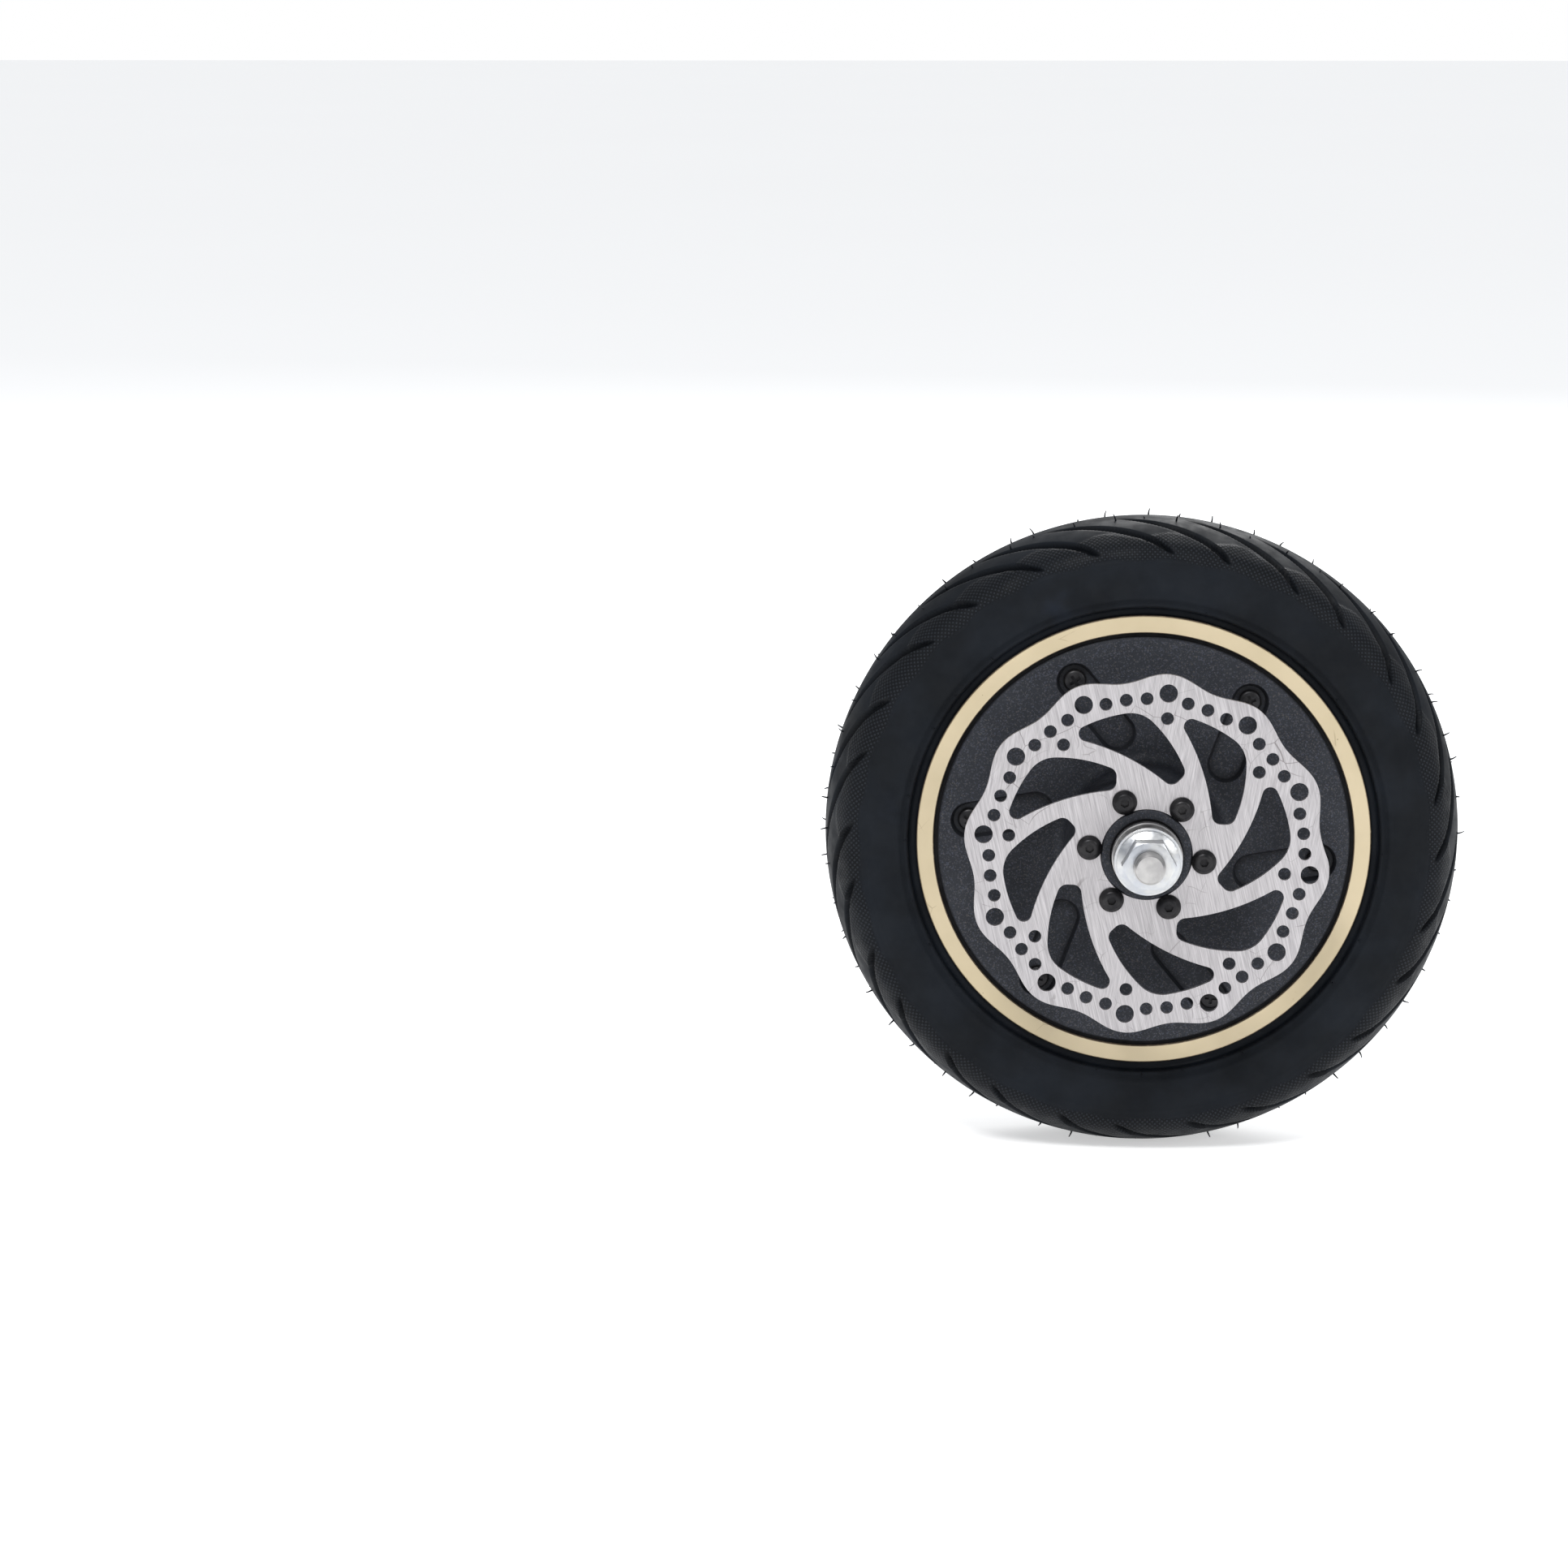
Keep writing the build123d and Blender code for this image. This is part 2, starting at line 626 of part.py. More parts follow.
def axle():
    """Stepped axle, hollow on the cable side, with flats where the frame's slots hold it."""
    step_y = DROPOUT_FACE_Y - 0.5
    flats_end = DROPOUT_FACE_Y + DROPOUT_GAP + TAB_WASHER_THICKNESS
    half = [
        (AXLE_R, BEARING_Y),
        (BEARING_BORE_R, BEARING_Y),
        (BEARING_BORE_R, step_y),
        (THREAD_R, step_y),
        (THREAD_R, AXLE_HALF_LENGTH - 1.0),
        (THREAD_R - 1.0, AXLE_HALF_LENGTH),
        (0, AXLE_HALF_LENGTH),
    ]
    shaft = turned_points(half + [(radius, -y) for radius, y in half[::-1]])
    shaft += tube(AXLE_R - 1, AXLE_COLLAR_R, AXLE_COLLAR_Y, AXLE_COLLAR_Y + AXLE_COLLAR_WIDTH)
    shaft -= tube(AXLE_R - CIRCLIP_GROOVE, AXLE_R + 2, -AXLE_COLLAR_Y - CIRCLIP_WIDTH, -AXLE_COLLAR_Y)
    for side in SIDE.values():
        middle = side * (step_y + flats_end) / 2
        for way in (-1, 1):
            flat = Box(4 * THREAD_R, flats_end - step_y, THREAD_R)
            shaft -= Pos(0, middle, way * (FLATS_HALF + THREAD_R / 2)) * flat
    shaft -= bar(LEAD_BORE_R, LEAD_BORE_FROM, AXLE_HALF_LENGTH + 1)
    shaft -= bar(GROMMET_LIP_R, AXLE_HALF_LENGTH - GROMMET_LIP, AXLE_HALF_LENGTH + 1)
    slot_middle = (LEAD_SLOT_FROM + LEAD_SLOT_TO) / 2
    slot = Box(LEAD_SLOT_WIDTH, LEAD_SLOT_TO - LEAD_SLOT_FROM, 2 * AXLE_R)
    shaft -= Pos(0, slot_middle, AXLE_R) * slot
    return shaft - key_space(KEY_LENGTH)


def key_space(length):
    return Pos(0, 0, -AXLE_R) * Box(KEY_WIDTH, length, KEY_WIDTH)


def carrier_circlip():
    """Spring clip in a groove that stops the stator carrier sliding along the axle."""
    inner_r, outer_r = AXLE_R - CIRCLIP_GROOVE, AXLE_R + CIRCLIP_HEIGHT
    y_from, y_to = -AXLE_COLLAR_Y - CIRCLIP_WIDTH, -AXLE_COLLAR_Y
    points = [(inner_r, y_from), (outer_r, y_from), (outer_r, y_to), (inner_r, y_to)]
    return turn(turned_points(points, arc=CIRCLIP_ARC), (360 - CIRCLIP_ARC) / 2)


def flatted_bore():
    """The outline of the axle between its flats."""
    return Circle(THREAD_R) & Rectangle(4 * THREAD_R, 2 * FLATS_HALF)


def tab_washer(side):
    """Thick washer keyed to the axle's flats, with a tab that enters the frame's slot."""
    inner_y = DROPOUT_FACE_Y + DROPOUT_GAP
    outer_y = inner_y + TAB_WASHER_THICKNESS
    washer = plate(Circle(TAB_WASHER_R) - flatted_bore(), side * inner_y, side * outer_y)
    tab_x = TAB_WASHER_R - 2.0
    tab_y = side * (inner_y + 0.5 - TAB_REACH / 2)
    return washer + Pos(tab_x, tab_y, 0) * Box(TAB_THICKNESS, TAB_REACH + 1.0, TAB_WIDTH)


def axle_nut(side):
    """Hexagon nut with a round flange."""
    inner_y = DROPOUT_FACE_Y + DROPOUT_GAP + TAB_WASHER_THICKNESS
    outer_y = inner_y + NUT_HEIGHT
    corner_r = NUT_ACROSS_FLATS / math.sqrt(3)
    hexagon = plate(RegularPolygon(corner_r, 6), side * inner_y, side * outer_y)
    envelope = [(0, inner_y), (corner_r, inner_y), (corner_r, outer_y - NUT_CHAMFER)]
    envelope += [(NUT_ACROSS_FLATS / 2 - 0.3, outer_y), (0, outer_y)]
    nut = hexagon & turned_points(envelope, side)
    flange = [(0, inner_y), (NUT_FLANGE_R, inner_y), (NUT_FLANGE_R, inner_y + NUT_FLANGE_EDGE)]
    flange += [(NUT_ACROSS_FLATS / 2, inner_y + NUT_FLANGE_H), (0, inner_y + NUT_FLANGE_H)]
    nut += turned_points(flange, side)
    return nut - bar(THREAD_R, side * inner_y, side * outer_y)


def cable_grommet():
    """Rubber sleeve in the hollow end of the axle, where the motor's cable leaves."""
    end = AXLE_HALF_LENGTH
    points = [
        (GROMMET_BORE_R, end - GROMMET_LENGTH),
        (LEAD_BORE_R, end - GROMMET_LENGTH),
        (LEAD_BORE_R, end - GROMMET_LIP),
        (GROMMET_LIP_R, end - GROMMET_LIP),
        (GROMMET_LIP_R, end),
        (GROMMET_BORE_R, end),
    ]
    return turned_points(points)


# ---------------------------------------------------------------- motor


def slot_outline():
    """The space between two stator teeth, drawn along the X axis."""
    half_pitch = math.radians(PITCH / 2)

    def half_width(radius):
        return radius * math.tan(half_pitch) - TOOTH_HALF / math.cos(half_pitch)

    upper = [
        (STATOR_YOKE_R, half_width(STATOR_YOKE_R)),
        (SHOE_INNER_R, half_width(SHOE_INNER_R)),
        (SHOE_INNER_R + 1.1, SLOT_OPENING_HALF),
        (STATOR_R + 1.0, SLOT_OPENING_HALF),
    ]
    lower = [(x, -y) for x, y in upper[::-1]]
    return make_face(Polyline(*(upper + lower), close=True))


def lamination(outer_r, inner_r):
    """The toothed outline shared by the stator's steel and its end insulators."""
    outline = Circle(outer_r) - Circle(inner_r)
    slot = slot_outline()
    for index in range(TEETH):
        outline -= Rot(0, 0, (index + 0.5) * PITCH) * slot
    return outline


def stator_core():
    return plate(lamination(STATOR_R, STATOR_BORE_R), -STACK_HALF, STACK_HALF)


def end_insulators():
    """Plastic faces that keep the windings off the steel, one at each end."""
    outline = lamination(STATOR_R - 0.6, STATOR_BORE_R + 1.5)
    end = STACK_HALF + INSULATOR_THICKNESS
    return [plate(outline, STACK_HALF, end), plate(outline, -end, -STACK_HALF)]


def windings():
    """One coil round each tooth."""
    opening_half = STACK_HALF + INSULATOR_THICKNESS + COIL_CLEARANCE
    opening = RectangleRounded(2 * opening_half, 2 * TOOTH_HALF + 4 * COIL_CLEARANCE, 0.3)
    outline = RectangleRounded(2 * COIL_HALF_LENGTH, COIL_WIDTH, COIL_CORNER_R) - opening
    coil = extrude(Plane.YZ.offset(COIL_INNER_R) * outline, amount=COIL_DEPTH)
    return [turn(coil, index * PITCH) for index in range(TEETH)]


def stator_carrier():
    """Aluminium wheel between the axle and the stator, with a keyed hub and round lightening holes."""
    half = [
        (AXLE_R, CARRIER_HUB_HALF),
        (CARRIER_HUB_R, CARRIER_HUB_HALF),
        (CARRIER_HUB_R, CARRIER_WEB_HALF),
        (CARRIER_RIM_R, CARRIER_WEB_HALF),
        (CARRIER_RIM_R, STACK_HALF),
        (STATOR_BORE_R, STACK_HALF),
    ]
    carrier = turned_points(half + [(radius, -y) for radius, y in half[::-1]])
    y_from, y_to = -CARRIER_WEB_HALF - 1, CARRIER_WEB_HALF + 1
    carrier -= bars(CARRIER_HOLE_R, y_from, y_to, CARRIER_HOLE_RING_R, CARRIER_HOLES, 0.0)
    return carrier - key_space(2 * CARRIER_HUB_HALF + 2)


def magnets():
    """Curved magnets side by side round the inside of the back iron."""
    points = [(MAGNET_INNER_R, -MAGNET_HALF), (MAGNET_OUTER_R, -MAGNET_HALF)]
    points += [(MAGNET_OUTER_R, MAGNET_HALF), (MAGNET_INNER_R, MAGNET_HALF)]
    magnet = turned_points(points, arc=MAGNET_ARC)
    return [turn(magnet, index * 360 / MAGNETS) for index in range(MAGNETS)]


def hall_board():
    """Curved circuit board lying on the ends of the coils, at the bottom of the motor."""
    y_from, y_to = COIL_HALF_LENGTH, COIL_HALF_LENGTH + BOARD_THICKNESS
    points = [(BOARD_INNER_R, y_from), (SHOE_INNER_R, y_from), (SHOE_INNER_R, y_to), (BOARD_INNER_R, y_to)]
    return turn(turned_points(points, arc=BOARD_ARC), BOTTOM_ANGLE + BOARD_ARC / 2)


def hall_sensors():
    """Three small sensors on the board's outer edge, facing the magnets."""
    low, high = STACK_HALF + INSULATOR_THICKNESS, COIL_HALF_LENGTH + BOARD_THICKNESS
    radius = SHOE_INNER_R + SENSOR_GAP + SENSOR_THICKNESS / 2
    block = Pos(radius, (low + high) / 2, 0) * Box(SENSOR_THICKNESS, high - low, SENSOR_SIZE)
    return [turn(block, BOTTOM_ANGLE + way * 1.5 * PITCH) for way in (-1, 0, 1)]


def phase_leads():
    """Three leads that run down from the coils, bend, and lie in the hollow axle."""
    made = []
    for way in (-1, 0, 1):
        x = way * LEAD_SPACING
        top, bend, end = (x, LEAD_Y, LEAD_TOP_R), (x, LEAD_Y, 0), (x, LEAD_END_Y, 0)
        path = FilletPolyline(top, bend, end, radius=LEAD_BEND_R)
        start = Plane(origin=top, z_dir=(0, 0, -1))
        made.append(sweep(start * Circle(LEAD_R), path=path))
    return made


# ---------------------------------------------------------------- tyre valve


def valve_plane():
    """Plane at the valve's foot whose normal runs along the valve, towards its cap."""
    lean = math.radians(VALVE_LEAN)
    inward, outward = -math.sin(lean), math.cos(lean)
    foot_x, foot_z = polar(VALVE_FOOT_R, VALVE_ANGLE)
    way_x, way_z = polar(inward, VALVE_ANGLE)
    return Plane(origin=(foot_x, VALVE_FOOT_Y, foot_z), z_dir=(way_x, outward, way_z))


def valve_rod(radius, start, end):
    """A round bar along the valve's axis, between two distances from its foot."""
    return valve_plane() * Pos(0, 0, (start + end) / 2) * Cylinder(radius, end - start)


def valve_stem():
    stem = valve_rod(VALVE_R, 0.0, VALVE_SHOULDER) + valve_rod(VALVE_TIP_R, VALVE_SHOULDER, VALVE_LENGTH)
    stem += valve_rod(VALVE_BASE_R, -VALVE_BASE_HEIGHT, 0.0)
    return stem - valve_rod(VALVE_BORE_R, -5.0, VALVE_LENGTH + 1)


def valve_core():
    bore = valve_rod(CORE_BORE_R, CORE_START - 1, CORE_END + 1)
    return valve_rod(VALVE_BORE_R, CORE_START, CORE_END) - bore


def valve_pin():
    return valve_rod(PIN_R, PIN_START, PIN_END)


def valve_cap():
    inside = valve_rod(VALVE_TIP_R + 0.08, CAP_START - 1.0, VALVE_LENGTH + 1.0)
    cap = valve_rod(CAP_R, CAP_START, CAP_START + CAP_LENGTH) - inside
    crown = cap.faces().sort_by(Axis(valve_plane().origin, valve_plane().z_dir))[-1]
    return chamfer(crown.edges(), CAP_CHAMFER)


# ---------------------------------------------------------------- every sub-part

save("tyre", tyre())
save("rim", rim())
save("brake_side_cover", brake_side_cover())
save("cable_side_cover", cable_side_cover())
save("brake_rotor", brake_rotor())
save("rotor_bolts", *rotor_bolts())

for name, side in SIDE.items():
    seal_y = DISC_SPIGOT_Y - 0.6 if name == "brake_side" else CABLE_BOSS_Y - 0.3
    save(f"{name}_cover_screws", *cover_screws(side))
    save(f"{name}_seal_ring", cover_seal_ring(side))
    save(f"{name}_bearing_inner_ring", bearing_inner_ring(side))
    save(f"{name}_bearing_outer_ring", bearing_outer_ring(side))
    save(f"{name}_bearing_shields", *bearing_shields(side))
    save(f"{name}_bearing_balls", *bearing_balls(side))
    save(f"{name}_bearing_cage", bearing_cage(side))
    save(f"{name}_shaft_seal", shaft_seal(side, seal_y))
    save(f"{name}_axle_sleeve", axle_sleeve(side))
    save(f"{name}_tab_washer", tab_washer(side))
    save(f"{name}_axle_nut", axle_nut(side))

save("axle", axle())
save("stator_key", key_space(KEY_LENGTH))
save("carrier_circlip", carrier_circlip())
save("cable_grommet", cable_grommet())
save("stator_carrier", stator_carrier())
save("stator_core", stator_core())
save("end_insulators", *end_insulators())
save("windings", *windings())
save("hall_board", hall_board())
save("hall_sensors", *hall_sensors())
save("phase_leads", *phase_leads())
save("back_iron_ring", tube(MAGNET_OUTER_R, RIM_BORE_R, -YOKE_HALF, YOKE_HALF))
save("magnets", *magnets())
save("valve_stem", valve_stem())
save("valve_core", valve_core())
save("valve_pin", valve_pin())
save("valve_cap", valve_cap())
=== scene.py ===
import json
import math

import bmesh
import bpy
import numpy as np
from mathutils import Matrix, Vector


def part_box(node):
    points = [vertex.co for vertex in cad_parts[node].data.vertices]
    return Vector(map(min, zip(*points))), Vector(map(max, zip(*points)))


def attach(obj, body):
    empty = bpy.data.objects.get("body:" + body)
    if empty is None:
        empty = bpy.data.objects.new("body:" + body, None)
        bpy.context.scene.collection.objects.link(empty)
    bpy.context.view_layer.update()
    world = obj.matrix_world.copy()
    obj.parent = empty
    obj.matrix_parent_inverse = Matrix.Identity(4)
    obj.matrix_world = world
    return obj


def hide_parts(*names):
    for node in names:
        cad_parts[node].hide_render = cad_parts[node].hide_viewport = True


# Looks of a hub motor wheel, built round its CAD frame. The axle lies along Y, and the brake disc is on
# the -Y side. Sizes are in millimetres and become metres through MM where they reach Blender.
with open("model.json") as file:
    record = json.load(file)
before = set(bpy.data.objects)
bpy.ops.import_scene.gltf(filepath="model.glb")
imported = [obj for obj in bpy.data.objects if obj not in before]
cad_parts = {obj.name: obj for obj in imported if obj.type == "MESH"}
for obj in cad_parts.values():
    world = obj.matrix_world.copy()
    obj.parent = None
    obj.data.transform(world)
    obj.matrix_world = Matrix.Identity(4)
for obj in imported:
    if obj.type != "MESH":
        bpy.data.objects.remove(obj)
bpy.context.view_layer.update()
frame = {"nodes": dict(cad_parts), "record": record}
MM = 0.001
SEED = 7


# ---------------------------------------------------------------- sizes

def reach(node, axis=0):
    """How far a node reaches along one axis, in millimetres."""
    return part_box(node)[1][axis] / MM


SIDES = {"brake_side": -1, "cable_side": 1}

RIM_R = round(reach("rim"), 0)
RIM_FACE = round(reach("rim", 1), 1)
RIM_RING_WIDTH = 6.3
POCKET_DEPTH = 3.0
POCKET_FLOOR = RIM_FACE - POCKET_DEPTH

TYRE_R = 124.0
TYRE_HALF = round(reach("tyre", 1), 0)
FLOOR_Z = -TYRE_R * MM
KNURL_STUDS, KNURL_PITCH = 364, 2.0

SLEEVE_FACE = round(reach("cable_side_axle_sleeve", 1), 1)
NUT_FACE = round(reach("cable_side_axle_nut", 1), 1)
AXLE_END = round(reach("axle", 1), 1)
DROPOUT_GAP = 6.0
THREAD_PITCH, THREAD_R, THREAD_ROOT_R = 1.25, 6.0, 5.45
THREAD_FROM = SLEEVE_FACE - 0.3
THREAD_RUNS = ((THREAD_FROM, SLEEVE_FACE + DROPOUT_GAP + 0.3), (NUT_FACE - 0.3, AXLE_END + 0.4))


# ---------------------------------------------------------------- material tools

class Nodes:
    """Builds one procedural material, step by step."""

    def __init__(self, name):
        self.material = bpy.data.materials.new(name)
        self.material.use_nodes = True
        self.tree = self.material.node_tree
        self.tree.nodes.clear()
        self.shader = self.tree.nodes.new("ShaderNodeBsdfPrincipled")
        output = self.tree.nodes.new("ShaderNodeOutputMaterial")
        self.link(self.shader.outputs[0], output.inputs["Surface"])
        self.place = self.tree.nodes.new("ShaderNodeTexCoord").outputs["Object"]

    def link(self, source, target):
        if isinstance(source, (int, float, tuple)):
            target.default_value = source
        else:
            self.tree.links.new(source, target)

    def node(self, kind, **values):
        made = self.tree.nodes.new(kind)
        for name, value in values.items():
            setattr(made, name, value)
        return made

    def set(self, **values):
        """Constant values, or links, on the shader's own sockets."""
        for name, value in values.items():
            self.link(value, self.shader.inputs[name.replace("_", " ")])

    def scaled(self, x, y, z, tilt=0.0):
        """Coordinates stretched along each axis, after a turn about the axle in degrees."""
        tilted = self.node("ShaderNodeMapping")
        self.link(self.place, tilted.inputs["Vector"])
        tilted.inputs["Rotation"].default_value = (0.0, math.radians(tilt), 0.0)
        mapping = self.node("ShaderNodeMapping")
        self.link(tilted.outputs[0], mapping.inputs["Vector"])
        mapping.inputs["Scale"].default_value = (x, y, z)
        return mapping.outputs[0]

    def noise(self, scale, detail=3.0, roughness=0.55, vector=None):
        made = self.node("ShaderNodeTexNoise")
        self.link(vector or self.place, made.inputs["Vector"])
        made.inputs["Scale"].default_value = scale
        made.inputs["Detail"].default_value = detail
        made.inputs["Roughness"].default_value = roughness
        return made.outputs[0]

    def cells(self, scale, feature="F1", output="Distance", vector=None):
        made = self.node("ShaderNodeTexVoronoi", feature=feature)
        self.link(vector or self.place, made.inputs["Vector"])
        made.inputs["Scale"].default_value = scale
        return made.outputs[output]

    def math(self, operation, first, second=0.0, third=0.0):
        made = self.node("ShaderNodeMath", operation=operation)
        for socket, value in zip(made.inputs, (first, second, third)):
            self.link(value, socket)
        return made.outputs[0]

    def ramp(self, value, low, high, out_low=0.0, out_high=1.0):
        made = self.node("ShaderNodeMapRange", interpolation_type="SMOOTHSTEP")
        for socket, entry in zip(made.inputs, (value, low, high, out_low, out_high)):
            self.link(entry, socket)
        return made.outputs[0]

    def mix(self, share, first, second):
        made = self.node("ShaderNodeMix", data_type="RGBA")
        self.link(share, made.inputs[0])
        self.link(first, made.inputs[6])
        self.link(second, made.inputs[7])
        return made.outputs[2]

    def bump(self, height, strength, distance, before=None):
        made = self.node("ShaderNodeBump")
        made.inputs["Strength"].default_value = strength
        made.inputs["Distance"].default_value = distance
        self.link(height, made.inputs["Height"])
        if before is not None:
            self.link(before, made.inputs["Normal"])
        self.link(made.outputs[0], self.shader.inputs["Normal"])
        return made.outputs[0]

    def radius(self):
        """Distance from the axle's line."""
        split = self.node("ShaderNodeSeparateXYZ")
        self.link(self.place, split.inputs[0])
        squares = self.math("MULTIPLY", split.outputs[0], split.outputs[0])
        total = self.math("MULTIPLY_ADD", split.outputs[2], split.outputs[2], squares)
        return self.math("SQRT", total)

    def occlusion_shade(self, distance):
        """Falls towards 0 in corners and recesses where light doesn't reach, for painted shade."""
        made = self.node("ShaderNodeAmbientOcclusion", samples=8)
        made.inputs["Distance"].default_value = distance
        return self.ramp(made.outputs["AO"], 0.35, 0.96)

    def attribute(self, name):
        return self.node("ShaderNodeAttribute", attribute_name=name).outputs["Fac"]


def colour(red, green, blue):
    return (red, green, blue, 1.0)


# ---------------------------------------------------------------- materials

def tyre_rubber():
    """Blue-black rubber with cloudy tone and a little dust, with a painted highlight on the studs' tops and
    painted shade between the studs and in the grooves.
    """
    made = Nodes("tyre_rubber")
    cloud = made.noise(34.0, 5.0)
    dark, pale = colour(0.0022, 0.0034, 0.0054), colour(0.0056, 0.0080, 0.0122)
    tone = made.mix(made.ramp(cloud, 0.34, 0.70), dark, pale)
    smudge = made.math("MULTIPLY", made.ramp(made.noise(21.0, 4.0), 0.60, 0.74), 0.45)
    tone = made.mix(smudge, tone, colour(0.014, 0.020, 0.034))
    dust_spots = made.ramp(made.cells(260.0), 0.050, 0.02)
    dust = made.math("MULTIPLY", dust_spots, made.ramp(made.noise(55.0), 0.62, 0.72))
    tone = made.mix(made.math("MULTIPLY", dust, 0.30), tone, colour(0.10, 0.10, 0.09))
    band = made.attribute("knurl")
    stud_and_highlight = made.math("MULTIPLY", band, knurl_height(made))
    # painted highlight: the studs' tops are painted paler, as if lit
    tone = made.mix(made.math("MULTIPLY", stud_and_highlight, 0.75), tone, colour(0.0190, 0.0225, 0.0280))
    # painted shade: the rubber between the studs is painted darker
    shade_between_studs = made.math("MULTIPLY", made.math("SUBTRACT", band, stud_and_highlight), 0.6)
    tone = made.mix(shade_between_studs, tone, colour(0.002, 0.0025, 0.0035))
    # painted shade: the grooves' floors and walls are painted near black
    groove_and_shade = made.math("MULTIPLY", made.attribute("groove_and_shade"), 0.8)
    made.set(Base_Color=made.mix(groove_and_shade, tone, colour(0.0015, 0.002, 0.0028)))
    made.set(Roughness=made.ramp(made.noise(120.0, 4.0), 0.3, 0.7, 0.50, 0.68))
    made.set(Specular_IOR_Level=made.math("MULTIPLY_ADD", groove_and_shade, -0.12, 0.16))
    first = made.bump(made.noise(900.0, 4.0), 0.25, 0.00012)
    made.bump(stud_and_highlight, 1.0, 0.00045, first)
    return made.material


def knurl_height(made):
    """Small raised studs in slanting rows, the fine texture on the tyre's shoulder."""
    split = made.node("ShaderNodeSeparateXYZ")
    uv = made.node("ShaderNodeUVMap", uv_map="tread")
    made.link(uv.outputs[0], split.inputs[0])
    turn = made.math("COSINE", made.math("MULTIPLY", split.outputs[0], 2 * math.pi * KNURL_STUDS))
    row = made.math("COSINE", made.math("MULTIPLY", split.outputs[1], 2 * math.pi / KNURL_PITCH))
    return made.ramp(made.math("MULTIPLY", turn, row), -0.05, 0.45)


def rim_paint():
    """Cream paint with small specks and scuffs, and painted shade as a thin dark line along the face ring's
    edges.
    """
    made = Nodes("rim_paint")
    drift = made.noise(30.0, 4.0)
    paint = made.mix(made.ramp(drift, 0.3, 0.7), colour(0.545, 0.452, 0.288), colour(0.600, 0.500, 0.328))
    spots = made.ramp(made.cells(300.0), 0.10, 0.05)
    spots = made.math("MULTIPLY", spots, made.ramp(made.noise(90.0), 0.55, 0.64))
    paint = made.mix(made.math("MULTIPLY", spots, 0.75), paint, colour(0.16, 0.11, 0.06))
    streak = made.cells(60.0, "DISTANCE_TO_EDGE", vector=warped(made, 25.0, 0.02))
    scuff = made.math("MULTIPLY", made.ramp(streak, 0.010, 0.003), made.ramp(made.noise(45.0), 0.60, 0.66))
    paint = made.mix(made.math("MULTIPLY", scuff, 0.5), paint, colour(0.30, 0.22, 0.13))
    radius = made.radius()
    # painted shade: the ring's inner and outer edges are painted dark brown, as a thin shaded line on the
    # chamfers, broken up by noise
    ring_inner = RIM_R - RIM_RING_WIDTH
    inner = made.ramp(radius, (ring_inner + 0.15) * MM, (ring_inner - 0.15) * MM)
    outer = made.ramp(radius, (RIM_R - 0.45) * MM, (RIM_R - 0.15) * MM)
    edge_shade = made.math("MAXIMUM", inner, outer)
    edge_shade = made.math("MULTIPLY", edge_shade, made.ramp(made.noise(400.0), 0.25, 0.45, 0.55, 0.95))
    made.set(Base_Color=made.mix(edge_shade, paint, colour(0.085, 0.060, 0.040)))
    made.set(Roughness=made.ramp(made.noise(200.0), 0.3, 0.7, 0.36, 0.50))
    made.set(Coat_Weight=0.15, Coat_Roughness=0.3)
    made.bump(made.noise(700.0, 2.0), 0.10, 0.00015)
    return made.material


def warped(made, scale, amount):
    """Coordinates pushed about by noise, so that straight cells become hair-like curves."""
    noise = made.node("ShaderNodeTexNoise")
    made.link(made.place, noise.inputs["Vector"])
    noise.inputs["Scale"].default_value = scale
    stretch = made.node("ShaderNodeVectorMath", operation="MULTIPLY_ADD")
    made.link(noise.outputs["Color"], stretch.inputs[0])
    stretch.inputs[1].default_value = (amount,) * 3
    made.link(made.place, stretch.inputs[2])
    return stretch.outputs[0]


def cover_coat():
    """Dark powder coat with fine flakes, with painted shade on the pockets' walls and in the corners."""
    made = Nodes("cover_coat")
    base = made.mix(made.ramp(made.noise(70.0, 4.0), 0.3, 0.7), colour(0.0140, 0.0160, 0.0215),
                    colour(0.0190, 0.0215, 0.0280))
    flake = made.cells(2300.0, output="Color")
    split = made.node("ShaderNodeSeparateColor")
    made.link(flake, split.inputs[0])
    sparkle = made.ramp(split.outputs[0], 0.62, 0.98)
    tint = made.mix(split.outputs[1], colour(0.062, 0.070, 0.098), colour(0.088, 0.081, 0.077))
    coat = made.mix(made.math("MULTIPLY", sparkle, 0.75), base, tint)
    # painted shade: the pockets' sloping walls, between floor and face, are painted near black
    split_place = made.node("ShaderNodeSeparateXYZ")
    made.link(made.place, split_place.inputs[0])
    height = made.math("ABSOLUTE", split_place.outputs[1])
    above_floor = made.ramp(height, (POCKET_FLOOR + 0.05) * MM, (POCKET_FLOOR + 0.4) * MM)
    below_face = made.ramp(height, (RIM_FACE - 0.2) * MM, (RIM_FACE - 0.6) * MM)
    wall = made.math("MULTIPLY", made.math("MULTIPLY", above_floor, below_face), 0.62)
    coat = made.mix(wall, coat, colour(0.0035, 0.004, 0.0055))
    # painted shade: corners and recesses are painted near black where occlusion is high
    made.set(Base_Color=made.mix(made.occlusion_shade(5.0 * MM), colour(0.0025, 0.003, 0.004), coat))
    made.set(Metallic=made.math("MULTIPLY", sparkle, 0.4))
    made.set(Roughness=made.ramp(made.noise(500.0), 0.3, 0.7, 0.50, 0.62))
    made.set(Specular_IOR_Level=0.28)
    made.bump(made.noise(1500.0, 3.0), 0.35, 0.00012)
    return made.material


